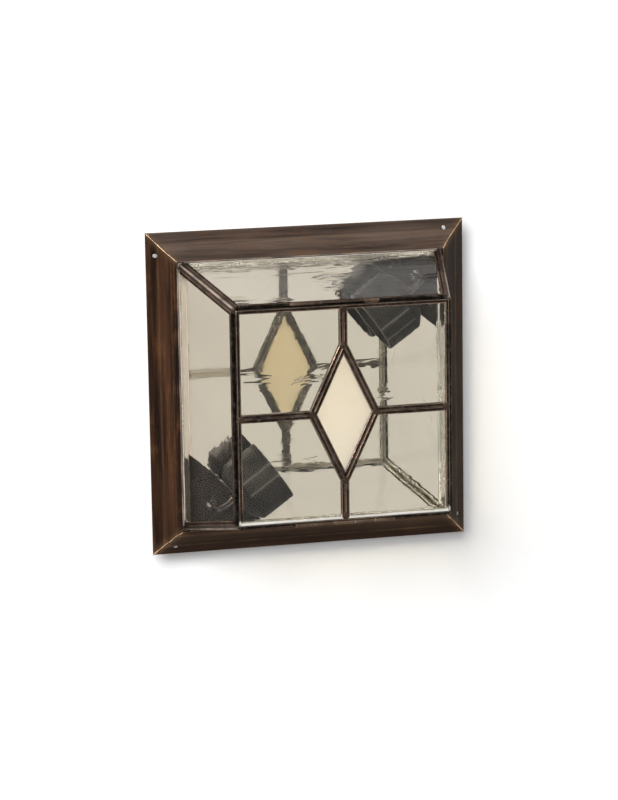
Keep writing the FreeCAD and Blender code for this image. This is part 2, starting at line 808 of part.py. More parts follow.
def lamp_leads():
    """Two leads for each lamp, from the terminal block through the grommet into the holder's back."""
    names = (("live", "neutral"), ("neutral", "live"))
    ways = ((-block_way, 0), (0, block_way))
    centre = corner_to_centre
    near = centre - block_half_width - lead_straight_from_block
    start = centre - block_half_width + block_entry_depth - lead_fit_gap
    finish = lead_hole_depth - lead_fit_gap
    radii = [lead_sweep_radius] * 3 + [lead_drop_radius, lead_rise_radius]
    for k, place in enumerate(corner_frames()):
        for name, side, way in zip(names[k], (-1, 1), ways[k]):
            end = side * lead_spacing / 2
            far = beside_tab(lead_straight_from_grommet - grommet_from_tab, end, lead_z)
            middle = near + lead_bow_place_share * (far.x - near)
            bow = way + lead_bow_side_share * (far.y - way)
            points = [Vector(start, way, lead_z), Vector(near, way, lead_z), Vector(middle, bow, lead_z),
                      far, beside_tab(-grommet_from_tab, end, lead_z),
                      beside_tab(-grommet_from_tab, end, holder_axis_z), beside_tab(finish, end, holder_axis_z)]
            lead = bent_tube(points, radii, lead_radius)
            save("lamp_%d_lead_%s" % (k + 1, name), [placed(lead, place)])


def terminal_block():
    """Three-way block on the pan. Lamp leads enter at its sides, the supply from above."""
    half, way, high = block_half_width, block_way, pan_rear + block_height
    block = box((-half, half), (-1.5 * way, 1.5 * way), (pan_rear, high))
    screws = []
    for row in (-1, 0, 1):
        y = row * way
        entry = Vector(0, y, high)
        block = block.cut(rod(supply_entry_radius, entry, entry - Vector(0, 0, supply_entry_depth)))
        for side in (-1, 1):
            mouth = Vector(side * half, y, lead_z)
            inner = mouth - Vector(side * block_entry_depth, 0, 0)
            block = block.cut(rod(lead_radius + lead_fit_gap, mouth, inner))
            top = Vector(side * (half - terminal_screw_from_side), y, high)
            foot = top - Vector(0, 0, terminal_screw_height)
            block = block.cut(rod(terminal_screw_radius + screw_clearance, top, foot))
            screws.append(rod(terminal_screw_radius, top - Vector(0, 0, pan_rim_gap), foot))
    tilt = FreeCAD.Placement(Vector(0, 0, 0), FreeCAD.Rotation(Vector(0, 0, 1), -QUARTER / 2))
    save("terminal_block", [placed(block, tilt)])
    save("terminal_screws", [placed(screw, tilt) for screw in screws])


def lead_saddles():
    """Saddles on the pan that hold each pair of leads."""
    saddles = []
    half = lead_spacing / 2 + lead_radius + lead_fit_gap
    for place in lamp_frames():
        for distance in saddles_from_grommet:
            x = distance - grommet_from_tab
            limits = (x - saddle_length / 2, x + saddle_length / 2)
            side = (-half - saddle_wall, half + saddle_wall)
            reach = lead_radius + lead_fit_gap
            block = box(limits, side, (pan_rear, lead_z + reach + saddle_wall / 2))
            tunnel = box((limits[0] - overrun, limits[1] + overrun),
                         (-half, half), (lead_z - reach, lead_z + reach))
            saddles.append(placed(block.cut(tunnel), place))
    save("lead_saddles", saddles)


def earth_point():
    """A stud on the pan with a ring terminal under a nut, and its short lead."""
    place = corner_frames()[0]
    distance, y = earth_stud_place
    foot = Vector(corner_to_centre - distance, y, pan_rear)
    up = Vector(0, 0, 1)
    stud = rod(earth_stud_radius, foot, foot + up * earth_stud_height)
    ring = rod(earth_ring_radius, foot, foot + up * earth_ring_sheet)
    ring = ring.cut(rod(earth_stud_radius + solder_gap, foot, foot + up * earth_stud_height))
    nut = hex_nut(foot, foot.z + earth_ring_sheet, earth_nut_radius, earth_nut_height, earth_stud_radius)
    save("earth_stud", [placed(stud, place)])
    save("earth_ring_terminal", [placed(ring, place)])
    save("earth_nut", [placed(nut, place)])
    x = corner_to_centre
    level = pan_rear + lead_radius + solder_gap
    near, far = [x - place for place in earth_turn_places]
    start = x - block_half_width + block_entry_depth - lead_fit_gap
    points = [Vector(start, block_way, lead_z), Vector(near, block_way, lead_z),
              Vector(far, y, level), Vector(foot.x + earth_ring_radius + solder_gap, y, level)]
    lead = bent_tube(points, [earth_bend_radius] * 2, lead_radius)
    save("earth_lead", [placed(lead, place)])


os.makedirs("parts", exist_ok=True)
frame_bars()
mitre_seams()
corner_plates()
back_pan()
pan_screws()
mirror()
side_walls()
ridge_beads()
base_beads()
door_panes()
door_solder()
door_hinge()
door_bolt()
lamp_brackets()
bracket_fastenings()
lamp_holders()
grommets()
lamp_leads()
terminal_block()
lead_saddles()
earth_point()
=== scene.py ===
import math

import bmesh
import bpy
from mathutils import Matrix, Vector, noise


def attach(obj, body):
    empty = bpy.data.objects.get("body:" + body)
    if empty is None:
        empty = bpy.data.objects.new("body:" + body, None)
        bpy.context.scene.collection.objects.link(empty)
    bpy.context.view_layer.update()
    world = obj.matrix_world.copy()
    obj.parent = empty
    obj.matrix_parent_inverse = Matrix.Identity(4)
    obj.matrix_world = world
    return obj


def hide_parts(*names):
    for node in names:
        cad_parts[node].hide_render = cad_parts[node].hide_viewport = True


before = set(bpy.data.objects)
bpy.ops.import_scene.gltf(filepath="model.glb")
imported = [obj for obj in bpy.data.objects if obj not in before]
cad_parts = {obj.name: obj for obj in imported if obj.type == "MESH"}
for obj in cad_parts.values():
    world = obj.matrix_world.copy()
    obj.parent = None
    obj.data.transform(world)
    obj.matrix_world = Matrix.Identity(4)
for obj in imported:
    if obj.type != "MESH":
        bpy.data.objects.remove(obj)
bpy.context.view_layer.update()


# Viewpoint: from below and a little to the left, with a long lens, about 2.8 m
# from the ceiling. X is right, Y is down and Z goes into the ceiling.
def placed(name, data):
    made = bpy.data.objects.new(name, data)
    bpy.context.scene.collection.objects.link(made)
    return made


lens = bpy.data.cameras.new("viewpoint")
lens.sensor_width = 36.0
lens.lens = 135.0
lens.clip_end = 20.0
viewpoint = placed("viewpoint", lens)
viewpoint.matrix_world = Matrix(((0.96947, 0.06249, -0.23711, -0.6590),
                                 (0.01528, -0.98050, -0.19592, -0.5318),
                                 (-0.24473, 0.18632, -0.95152, -2.6490),
                                 (0.0, 0.0, 0.0, 1.0)))
bpy.context.scene.camera = viewpoint
bpy.context.scene.view_settings.view_transform = "Standard"


# Daylight: a white room all round, one large lamp from the upper left that throws the
# soft shadow to the lower right, a weaker one opposite, and one for the back.
def feed(tree, node, inputs):
    """Fills in inputs of a node: a socket is linked, anything else is the input's value."""
    for key, value in inputs.items():
        if isinstance(value, bpy.types.NodeSocket):
            tree.links.new(value, node.inputs[key])
        else:
            node.inputs[key].default_value = value
    return node


def add(tree, kind, inputs=(), **settings):
    node = tree.nodes.new(kind)
    for key, value in settings.items():
        setattr(node, key, value)
    return feed(tree, node, dict(inputs))


def reckon(operation, first, second=0.5, clamp=False):
    return add(first.id_data, "ShaderNodeMath", {0: first, 1: second}, operation=operation,
               use_clamp=clamp).outputs[0]


def spread(value, low, high, to_low=0.0, to_high=1.0, kind="LINEAR"):
    """A value's range from low to high, laid over another range and held inside it."""
    ends = {"Value": value, "From Min": low, "From Max": high, "To Min": to_low, "To Max": to_high}
    return add(value.id_data, "ShaderNodeMapRange", ends, interpolation_type=kind).outputs[0]


def seen_directly(tree):
    """1 for rays from the camera, and for those that come by way of metal or glass."""
    path = add(tree, "ShaderNodeLightPath").outputs
    gloss = reckon("MAXIMUM", path["Is Camera Ray"], path["Is Glossy Ray"])
    return reckon("MAXIMUM", gloss, path["Is Transmission Ray"])


room = bpy.data.worlds.new("white_room")
room.use_nodes = True
bpy.context.scene.world = room
tree = room.node_tree
feed(tree, tree.nodes["Background"],
     {"Color": (1.0, 1.0, 1.0, 1.0), "Strength": spread(seen_directly(tree), 0.0, 1.0, 0.12)})

room_lamps = (("lamp_upper_left", (-0.84, -0.88, -1.85), 66.0, 1.05),
              ("lamp_lower_right", (1.6, 1.3, -1.9), 2.0, 1.6), ("lamp_behind", (-0.9, 0.8, 1.9), 30.0, 1.2))
for lamp_name, place, watts, size in room_lamps:
    glow = bpy.data.lights.new(lamp_name, "AREA")
    glow.energy, glow.size = watts, size
    aim = (-Vector(place)).to_track_quat("-Z", "Y").to_matrix().to_4x4()
    placed(lamp_name, glow).matrix_world = Matrix.Translation(place) @ aim


# Ceiling: a white painted surface. It takes the shadow and is clear from behind,
# for the eye and for the lamp there, so that the back of the light can be looked at.
def surface(name):
    """A new material, its tree and the coordinates of the object that it is on."""
    material = bpy.data.materials.new(name)
    material.use_nodes = True
    tree = material.node_tree
    return material, tree, add(tree, "ShaderNodeTexCoord").outputs["Object"]


def blend(tree, share, first, second):
    """Shows one shader, and the other by a share from 0 to 1."""
    both = add(tree, "ShaderNodeMixShader", {0: share, 1: first.outputs[0], 2: second.outputs[0]})
    feed(tree, tree.nodes["Material Output"], {"Surface": both.outputs[0]})


ceiling_white, tree, place = surface("ceiling_white")
tree.nodes.remove(tree.nodes["Principled BSDF"])
apart = add(tree, "ShaderNodeVectorMath", {0: place}, operation="LENGTH").outputs["Value"]
lift = reckon("MULTIPLY", seen_directly(tree), spread(apart, 0.24, 0.60, 0.14, 0.34))
paint = add(tree, "ShaderNodeBsdfDiffuse", {"Color": (0.86, 0.86, 0.86, 1.0)})
self_glow = add(tree, "ShaderNodeEmission", {"Strength": lift})
painted = add(tree, "ShaderNodeAddShader", {0: paint.outputs[0], 1: self_glow.outputs[0]})
open_way = reckon("MAXIMUM", add(tree, "ShaderNodeNewGeometry").outputs["Backfacing"],
                  add(tree, "ShaderNodeLightPath").outputs["Is Shadow Ray"])
blend(tree, open_way, painted, add(tree, "ShaderNodeBsdfTransparent"))
ceiling_mesh = bpy.data.meshes.new("ceiling")
ceiling_mesh.from_pydata([(-6, -6, 0.028), (-6, 6, 0.028), (6, 6, 0.028), (6, -6, 0.028)], [], [(0, 1, 2, 3)])
ceiling_mesh.materials.append(ceiling_white)
ceiling = placed("ceiling", ceiling_mesh)

# Frame bars: four lengths of 0.8 mm brass sheet, folded by hand into three sloping
# facets with a flange on the ceiling, patinated dark and bright from rubbing on the folds.
# How pale the patina is, per bar and per facet, also paints light and shade: the latch
# bar is painted lightest, and each facet lighter or darker as the light falls on it.
bar_fold = [(145.0, 0.0), (150.0, 0.0), (150.0, -1.5), (140.5, -10.11), (130.0, -17.08), (125.0, -22.0), (125.0, -0.8)]
bar_sheet = 0.8
mitre_half = 0.566
hole_place, hole_radius = (130.0, -142.5), 1.9
SIDES = ("latch", "right", "hinge", "left")


def waver(point, size, seed):
    """Unevenness between -1 and 1 with features of about that size in millimetres."""
    return noise.noise(Vector(point) / size + Vector((seed * 7.3, seed * 3.1, seed * 5.7)))


def turn(point, quarters):
    """A point turned about the middle of the light by quarter turns."""
    x, y, z = point
    for _ in range(quarters % 4):
        x, y = -y, x
    return x, y, z


def between(a, b, share):
    return a + (b - a) * share


def part_way(start, stop, share):
    return tuple(between(a, b, share) for a, b in zip(start, stop))


def circle(sides):
    """Cosine and sine of each corner's angle."""
    return [(math.cos(2.0 * math.pi * k / sides), math.sin(2.0 * math.pi * k / sides)) for k in range(sides)]


def smooth(mesh, crease):
    mesh.shade_smooth()
    mesh.set_sharp_from_angle(angle=math.radians(crease))


def piece(name, points, faces, material, body, nodes=(), rub_and_sheen=None, crease=35.0, tone_and_painted_light=None):
    """A finished piece from points in millimetres, its faces turned outwards. Its rubbing values say how bright each
    point is, from rubbing and from painted highlights; its paleness values say how pale its surface is, from patina,
    tinning and flashed glass, and from painted light, shade and reflection."""
    mesh = bpy.data.meshes.new(name)
    mesh.from_pydata([[c * 0.001 for c in point] for point in points], [], faces)
    mesh.validate()
    shells = bmesh.new()
    shells.from_mesh(mesh)
    bmesh.ops.recalc_face_normals(shells, faces=shells.faces)
    shells.to_mesh(mesh)
    shells.free()
    for mark, values in (("rub_and_sheen", rub_and_sheen), ("tone_and_painted_light", tone_and_painted_light)):
        if values is not None:
            mesh.attributes.new(mark, "FLOAT", "POINT").data.foreach_set("value", values)
    mesh.materials.append(material)
    smooth(mesh, crease)
    made = placed(name, mesh)
    if nodes:
        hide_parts(*nodes)
    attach(made, body)
    return made


def belt(a, b, around):
    """Faces between two closed rings of points, whose first points have the numbers a and b."""
    return [(a + j, a + (j + 1) % around, b + (j + 1) % around, b + j) for j in range(around)]


def tube_faces(rings, around, closed_length=False):
    """Faces of a sweep: rings of points one after the other, each closed on itself."""
    faces = []
    for i in range(rings if closed_length else rings - 1):
        faces += belt(i * around, (i + 1) % rings * around, around)
    if not closed_length:
        faces += [tuple(range(around))[::-1], tuple(range((rings - 1) * around, rings * around))]
    return faces


def dome(base, rings, around):
    """Faces of rings of points that close in on a middle point, the last one. base is the first one's number."""
    last = base + (rings - 1) * around
    faces = [face for a in range(base, last, around) for face in belt(a, a + around, around)]
    return faces + [(last + j, last + (j + 1) % around, last + around) for j in range(around)]


def beside(line, distance):
    """An open line moved to its left, with mitred corners."""
    ways = [((a[1] - b[1]) / math.dist(a, b), (b[0] - a[0]) / math.dist(a, b)) for a, b in zip(line, line[1:])]
    moved = []
    for (r, z), before, after in zip(line, ways[:1] + ways, ways + ways[-1:]):
        nr, nz = before[0] + after[0], before[1] + after[1]
        scale = 2.0 * distance / (nr * nr + nz * nz)
        moved.append((r + nr * scale, z + nz * scale))
    return moved


def fine_line(line, step, fold):
    """The line with close points, three of them across each fold, and the fold's share of rubbing."""
    fine, rubbed_and_highlit = [line[0]], [0.3]
    for i, (start, stop) in enumerate(zip(line, line[1:]), 1):
        long = math.dist(start, stop)
        inner = i < len(line) - 1
        bend = min(fold, long * 0.35)
        first = bend if i > 1 else 0.0
        last = long - (bend if inner else 0.0)
        count = max(1, round((last - first) / step))
        for k in range(0 if i > 1 else 1, count + 1):
            fine.append(part_way(start, stop, between(first, last, k / count) / long))
            near = min(k, count - k) if inner and i > 1 else k
            rubbed_and_highlit.append(0.22 if near == 0 else 0.0)
        if inner:
            onward = math.dist(stop, line[i + 1])
            back, ahead = bend / long, min(fold, onward * 0.35) / onward
            fine.append(tuple(b + ((a - b) * back + (c - b) * ahead) * 0.22
                              for a, b, c in zip(start, stop, line[i + 1])))
            rubbed_and_highlit.append(1.0)
    return fine, rubbed_and_highlit


def speckle(place, scale, detail, roughness=0.5, twist=0.0):
    """Noise between 0 and 1, the finer the larger its scale."""
    given = {"Vector": place, "Scale": scale, "Detail": detail, "Roughness": roughness, "Distortion": twist}
    return add(place.id_data, "ShaderNodeTexNoise", given).outputs[0]


def mapped(place, scale, turned=0.0):
    given = {"Vector": place, "Scale": scale, "Rotation": (0.0, 0.0, turned)}
    return add(place.id_data, "ShaderNodeMapping", given).outputs[0]


def axes(vector):
    return add(vector.id_data, "ShaderNodeSeparateXYZ", {0: vector}).outputs


def mix(share, first, second):
    """A colour between two others, each a socket or red, green and blue."""
    ends = [end if isinstance(end, bpy.types.NodeSocket) else (*end, 1.0) for end in (first, second)]
    return add(share.id_data, "ShaderNodeMix", {0: share, 6: ends[0], 7: ends[1]}, data_type="RGBA").outputs[2]


def marked(tree, name):
    """One of the marks that the mesh carries: rubbing with painted highlights, or paleness with painted light and
    shade.
    """
    return add(tree, "ShaderNodeAttribute", attribute_name=name).outputs["Fac"]


def shade(material, inputs, relief, strength, depth):
    """Fills in the material's shader and adds its fine relief."""
    tree = material.node_tree
    bump = add(tree, "ShaderNodeBump", {"Height": relief, "Strength": strength, "Distance": depth})
    feed(tree, tree.nodes["Principled BSDF"], {**inputs, "Normal": bump.outputs[0]})
    return material


def metal(name, dark, light, rubbed_and_highlit, streak, roughness, stretch=(1.0, 1.0, 1.0), toned=False, bump=0.25, metallic=0.7,
          cloudy=0.45):
    """Patinated metal: cloudy, with long streaks of warmer colour, bright where the mesh marks rubbing and painted
    highlights. Toned metal takes its paleness from the mesh, which also carries painted light and shade.
    """
    material, tree, place = surface(name)
    cloud = speckle(place, 34.0, 6.0, 0.62)
    lines = speckle(mapped(place, stretch), 230.0, 6.0, 0.68, 0.3)
    tone_and_painted_light = marked(tree, "tone_and_painted_light") if toned else cloud
    uneven = reckon("ADD", tone_and_painted_light, spread(lines, 0.30, 0.70, -cloudy, cloudy), True)
    patch = spread(reckon("MULTIPLY", cloud, lines), 0.27, 0.42, 0.0, cloudy * 1.8)
    warm = mix(patch, mix(uneven, dark, light), streak)
    # Rubbed colour where the mesh marks rubbing and painted highlights.
    worn = reckon("MULTIPLY", marked(tree, "rub_and_sheen"), spread(cloud, 0.35, 0.6, 0.15), True)
    rough = spread(cloud, 0.3, 0.7, roughness + 0.08, roughness - 0.08)
    polished = reckon("SUBTRACT", rough, reckon("MULTIPLY", worn, 0.12))
    relief = reckon("ADD", lines, speckle(place, 900.0, 3.0))
    return shade(material, {"Base Color": mix(worn, warm, rubbed_and_highlit), "Metallic": metallic, "Roughness": polished,
                            "Specular Tint": (0.45, 0.38, 0.33, 1.0)}, relief, bump, 0.0006)


def baked(source, change):
    """Gives an object the plain mesh that a modifier makes of it."""
    bpy.context.view_layer.update()
    mesh = bpy.data.meshes.new_from_object(source.evaluated_get(bpy.context.evaluated_depsgraph_get()))
    source.modifiers.remove(change)
    old, source.data = source.data, mesh
    bpy.data.meshes.remove(old)
    return mesh


def drill(source, radius, start, end, sides=32):
    """Cuts a round hole into an object, from one point to another in millimetres."""
    start, end = Vector(start), Vector(end)
    across = (end - start).orthogonal().normalized() * radius
    other = (end - start).normalized().cross(across)
    mesh = bpy.data.meshes.new("drill")
    mesh.from_pydata([(centre + across * c + other * s) * 0.001 for centre in (start, end) for c, s in circle(sides)],
                     [], tube_faces(2, sides))
    cutting = source.modifiers.new("cut", "BOOLEAN")
    cutting.operation, cutting.solver, cutting.object = "DIFFERENCE", "EXACT", placed("drill", mesh)
    baked(source, cutting)
    bpy.data.meshes.remove(mesh)


# For each bar, in the order of SIDES: the patina's dark and pale colours, how pale it is across
# the facets from the outer edge to the inner lip, the direction of its streaks, their colour
# and their strength. The pale colour and the paleness across the facets are patina and also
# painted light and shade: the latch bar is painted lightest, the right and hinge bars darkest, and
# each facet lighter or darker as the light falls on it.
along_x, along_y = (0.05, 1.0, 1.0), (1.0, 0.05, 1.0)
bar_looks = (((0.030, 0.021, 0.018), (0.125, 0.088, 0.067), (0.75, 0.38, 0.36, 0.86, 0.66, 0.36, 0.50),
              along_x, (0.135, 0.060, 0.028), 0.42),
             ((0.022, 0.019, 0.017), (0.054, 0.047, 0.042), (0.6, 0.45, 0.42, 0.36, 0.50, 0.45, 0.75),
              along_y, (0.075, 0.045, 0.030), 0.20),
             ((0.015, 0.011, 0.0085), (0.056, 0.036, 0.025), (0.35, 0.26, 0.24, 0.24, 0.55, 0.85, 0.40),
              along_x, (0.090, 0.042, 0.022), 0.22),
             ((0.012, 0.007, 0.005), (0.074, 0.034, 0.018), (0.5, 0.36, 0.36, 0.60, 0.66, 0.22, 0.05),
              along_y, (0.125, 0.052, 0.021), 0.40))
tone_places = (150.0, 148.0, 142.5, 140.0, 133.0, 129.5, 126.0)
outer, outer_rub = fine_line(bar_fold, 1.3, 0.8)
inner = beside(outer, -bar_sheet)
section = outer + inner[::-1]
section_rub = outer_rub + [0.0] * len(inner)
lengths = 110
for quarters, (side, bar_look) in enumerate(zip(SIDES, bar_looks)):
    dark, light, facet_paleness_and_shade, stretch, warm_streak, uneven = bar_look
    look = metal("bronze_bar_" + side, dark, light, (0.20, 0.125, 0.075), warm_streak, 0.38, stretch, True,
                 metallic=0.9, cloudy=uneven)
    points, rub_and_sheen, tone_and_painted_light = [], [], []
    for i in range(lengths + 1):
        t = 2.0 * i / lengths - 1.0
        for (r, z), rubbed_and_highlit in zip(section, section_rub):
            x = t * (r - mitre_half)
            dip = 0.16 * waver((x, r * 0.5, quarters * 90.0), 26.0, 1) + 0.05 * waver((x, r, quarters * 90.0), 6.0, 2)
            ends = min(1.0, (1.0 - abs(t)) * 12.0)
            inside = 1.0 if 125.6 < r < 149.4 else 0.0
            points.append(turn((x, -r, min(0.0, z + dip * ends * inside)), quarters))
            rub_and_sheen.append(0.30 * rubbed_and_highlit + 0.5 * (1.0 - ends) ** 3)
            # Paleness across the facets: patina, and painted light and shade on each facet.
            pale = facet_paleness_and_shade[-1]
            for near, far, first, second in zip(tone_places, tone_places[1:], facet_paleness_and_shade, facet_paleness_and_shade[1:]):
                if far <= r <= near:
                    pale = between(first, second, (near - r) / (near - far))
            tone_and_painted_light.append(pale + 0.22 * waver((x, r * 3.0, quarters * 50.0), 60.0, 3))
    bar = piece("bar_" + side, points, tube_faces(lengths + 1, len(section)), look, "housing",
                ["frame_bar_" + side], rub_and_sheen, tone_and_painted_light=tone_and_painted_light)
    drill(bar, hole_radius, *(turn((*hole_place, z), quarters) for z in (-22.0, -2.0)))
    smooth(bar.data, 28.0)

# Mitre seams: solder run into the four mitres of the frame, filed down and browned,
# with the last thin run of it left as a wandering copper line on top.
mitre_look = metal("solder_mitre", (0.30, 0.17, 0.09), (0.62, 0.42, 0.24), (0.8, 0.55, 0.32), (0.50, 0.24, 0.12), 0.30,
                   bump=0.4)


def dress(material, *names):
    """Gives a finish to solids whose shape is already right."""
    for name in names:
        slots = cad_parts[name].data.materials
        slots.clear()
        slots.append(material)


dress(metal("solder_browned", (0.016, 0.011, 0.008), (0.060, 0.040, 0.028), (0.30, 0.20, 0.12),
            (0.09, 0.05, 0.025), 0.34), "frame_mitre_solder")
seam_start, seam_end = 149.5, 125.4
seam_steps, seam_sides = 90, 8
for quarters, sway in enumerate((0.6, 0.7, -2.2, 0.5)):
    points = []
    for i in range(seam_steps + 1):
        r = between(seam_start, seam_end, i / seam_steps)
        above, below = next((a, b) for a, b in zip(bar_fold[2:], bar_fold[3:]) if b[0] <= r <= a[0])
        z = between(above[1], below[1], (above[0] - r) / (above[0] - below[0]))
        off = sway * (0.5 + 1.1 * waver((i * 0.3, quarters * 20.0, 0.0), 8.0, 91)) * math.sin(math.pi * i / seam_steps)
        blob = 1.7 if sway < -1.0 and i < 14 else 1.0
        thick = 0.40 * (1.0 + 0.5 * waver((i * 0.3, quarters * 9.0, 5.0), 1.6, 92)) * blob
        for c, s in circle(seam_sides):
            x = r - max(0.0, off) + thick * c * 0.7
            y = -(r + min(0.0, off)) + thick * c * 0.7
            points.append(turn((x, y, min(-0.1, z - 0.15 - thick * 0.7 * s)), quarters))
    piece("seam_" + SIDES[quarters], points, tube_faces(seam_steps + 1, seam_sides), mitre_look, "housing",
          (), [0.4] * len(points), 60.0)

# Corner plates: small triangles of the same sheet soldered across the mitres,
# under the ceiling flange, to stiffen the corners.
dress(metal("brass_plate", (0.035, 0.024, 0.015), (0.12, 0.080, 0.045), (0.5, 0.3, 0.2), (0.14, 0.075, 0.035),
            0.42), "frame_corner_plates")

# Mirror: silvered float glass over the whole opening, clipped at two corners
# where the lamp brackets stand. It lies on the pan and is held by it, with cloth
# tape along its left edge, the tape darker towards its lower end.
silvering, tree, place = surface("silvering")
slow = speckle(place, 9.0, 2.0)
taped = spread(axes(place)[0], -0.1160, -0.1168)
lower_end_darkening = spread(axes(place)[1], 0.054, 0.062)
haze = mix(slow, (0.71, 0.675, 0.62), (0.75, 0.725, 0.68))
tape = mix(lower_end_darkening, (0.25, 0.235, 0.21), (0.035, 0.032, 0.028))
smear = spread(speckle(place, 140.0, 4.0), 0.45, 0.8, 0.02, 0.12)
shade(silvering, {"Base Color": mix(taped, haze, tape), "Metallic": spread(taped, 0.0, 1.0, 1.0, 0.0),
                  "Roughness": reckon("MAXIMUM", smear, taped)}, slow, 0.3, 0.001)
dress(silvering, "mirror")

# Wall glass: four panes of rolled glass, faintly beige and full of long waves,
# each puttied into its own channel.
wall_base, wall_front = -21.6, -128.7
wall_lean = 24.1
taper = math.atan(wall_lean / (wall_base - wall_front))
sine, cosine = math.sin(taper), math.cos(taper)
channel = 5.0
channel_face = 3.7
channel_web = 1.0
lip = 0.9
glass, putty = 3.0, 0.1
wall_inner_half = 124.6 - channel / cosine
slope = (wall_base - wall_front) / cosine
level_skew = channel / 2 * math.tan(taper)


def wall_place(point, quarters):
    """A point of a wall: x along it, y down its inner face, z out of the box."""
    x, y, z = point
    return turn((-x, -wall_inner_half + sine * y - cosine * z, wall_base - cosine * y - sine * z), quarters)


def inset(outline, distance, first=None):
    """A convex outline, anticlockwise, drawn in by a distance, or by another one at its first edge."""
    edges = []
    for i, ((ax, ay), (bx, by)) in enumerate(zip(outline, outline[1:] + outline[:1])):
        long = math.hypot(bx - ax, by - ay)
        nx, ny = (ay - by) / long, (bx - ax) / long
        edges.append((nx, ny, nx * ax + ny * ay + (first if first and i == 0 else distance)))
    return [((n * my - m * ny) / (nx * my - ny * mx), (m * nx - n * mx) / (nx * my - ny * mx))
            for (nx, ny, n), (mx, my, m) in zip(edges[-1:] + edges, edges)]


def wavy_pane(outline, low, thick, swell, seed, step=2.6):
    """A pane as two wavy faces and an edge, on a fan of rings drawn in from its outline."""
    middle = [sum(axis) / len(outline) for axis in zip(*outline)]
    rim = []
    for start, stop in zip(outline, outline[1:] + outline[:1]):
        count = max(2, round(math.dist(start, stop) / step))
        rim += [part_way(start, stop, k / count) for k in range(count)]
    rings = max(3, round(min(math.dist(middle, place) for place in rim) / step))
    points, faces = [], []
    around = len(rim)
    for top in (0, 1):
        base = len(points)
        for ring in range(rings):
            for place in rim:
                x, y = part_way(middle, place, 1.0 - ring / rings)
                wave = waver((x * 0.35, y, seed * 10.0 + top * 50.0), 12.0, seed)
                wave += 0.6 * waver((x, y * 0.5, top * 30.0), 22.0, seed + 1)
                points.append((x, y, low + top * thick + swell * min(1.0, ring / 2.0) * wave))
        points.append((*middle, low + top * thick))
        sheet = dome(base, rings, around)
        faces += sheet if top else [face[::-1] for face in sheet]
    return points, faces + belt(0, rings * around + 1, around)


def rolled_glass(name, tint, calm, wild, bands, turned=0.0, ior=1.22):
    """Clear glass that lets the lamps' light through. It is nearly flat, with patches of strong waves where the
    sheet was drawn badly, and in bands given as (axis, middle, half width, strength) in metres."""
    material, tree, place = surface(name)
    swell = speckle(mapped(place, (0.30, 1.0, 1.0), turned), 70.0, 2.0, 0.45, 1.6)
    patches = speckle(place, 16.0, 1.0)
    strong = spread(patches, 0.56, 0.70, 0.0, wild, "SMOOTHSTEP")
    for axis, middle, half, strength in bands:
        away = reckon("ABSOLUTE", reckon("SUBTRACT", axes(place)[axis], middle))
        strong = reckon("MAXIMUM", strong, spread(away, 0.0, half, strength, 0.0, "SMOOTHSTEP"))
    waves = reckon("MULTIPLY", swell, reckon("ADD", strong, calm))
    cloudy = mix(patches, [c * 0.96 for c in tint], [min(1.0, c * 1.04) for c in tint])
    film = spread(speckle(place, 260.0, 2.0), 0.45, 0.8, 0.0, 0.05)
    shade(material, {"Base Color": cloudy, "Transmission Weight": 1.0, "IOR": ior, "Specular IOR Level": 0.28,
                     "Roughness": film}, waves, 1.0, 0.0028)
    blend(tree, add(tree, "ShaderNodeLightPath").outputs["Is Shadow Ray"], tree.nodes["Principled BSDF"],
          add(tree, "ShaderNodeBsdfTransparent", {"Color": (*tint, 1.0)}))
    return material


def wall_outline():
    top = wall_inner_half + level_skew * sine - 0.04
    bottom = wall_inner_half - (slope - level_skew) * sine - 0.04
    return [(-top, -level_skew), (top, -level_skew), (bottom, slope - level_skew), (-bottom, slope - level_skew)]


wall_sheets = (((0.90, 0.87, 0.825), 0.10, 1.4, [(2, -0.030, 0.022, 1.4)], 0.0, 1.10),
               ((0.90, 0.87, 0.82), 0.04, 0.3, [], 1.57),
               ((0.90, 0.87, 0.82), 0.04, 0.3, []),
               ((0.885, 0.845, 0.79), 0.05, 0.3, [], 1.57, 1.045))
for quarters, (side, sheet) in enumerate(zip(SIDES, wall_sheets)):
    points, faces = wavy_pane(inset(wall_outline(), channel_web + putty), lip + putty, glass, 0.02, quarters + 3)
    points = [wall_place(p, quarters) for p in points]
    piece("pane_wall_" + side, points, faces, rolled_glass("rolled_glass_" + side, *sheet), "housing",
          ["wall_glass_" + side])

# Wall channels: folded U-section brass round each pane, its lips bright from rubbing and
# from painted highlight lines along them.
# The top and bottom are cut level, on the mirror and behind the door.
lip_section = [(0.0, 0.75), (0.12, 0.3), (0.5, 0.05), (1.0, 0.0), (1.9, -0.02), (2.8, 0.0), (3.25, 0.06), (3.58, 0.3),
               (3.7, 0.6), (3.66, 0.88), (channel_web, lip)]
# Brightness across the lip section: rubbing on the proud lips, which also paints thin highlight lines along them.
lip_rub_and_highlight = [0.0, 0.0, 0.42, 0.02, 0.0, 0.04, 0.75, 0.12, 0.0, 0.0, 0.0]
channel_section = lip_section + [(d, channel - z) for d, z in lip_section[::-1]]
channel_rub_and_highlight = lip_rub_and_highlight + lip_rub_and_highlight[::-1]


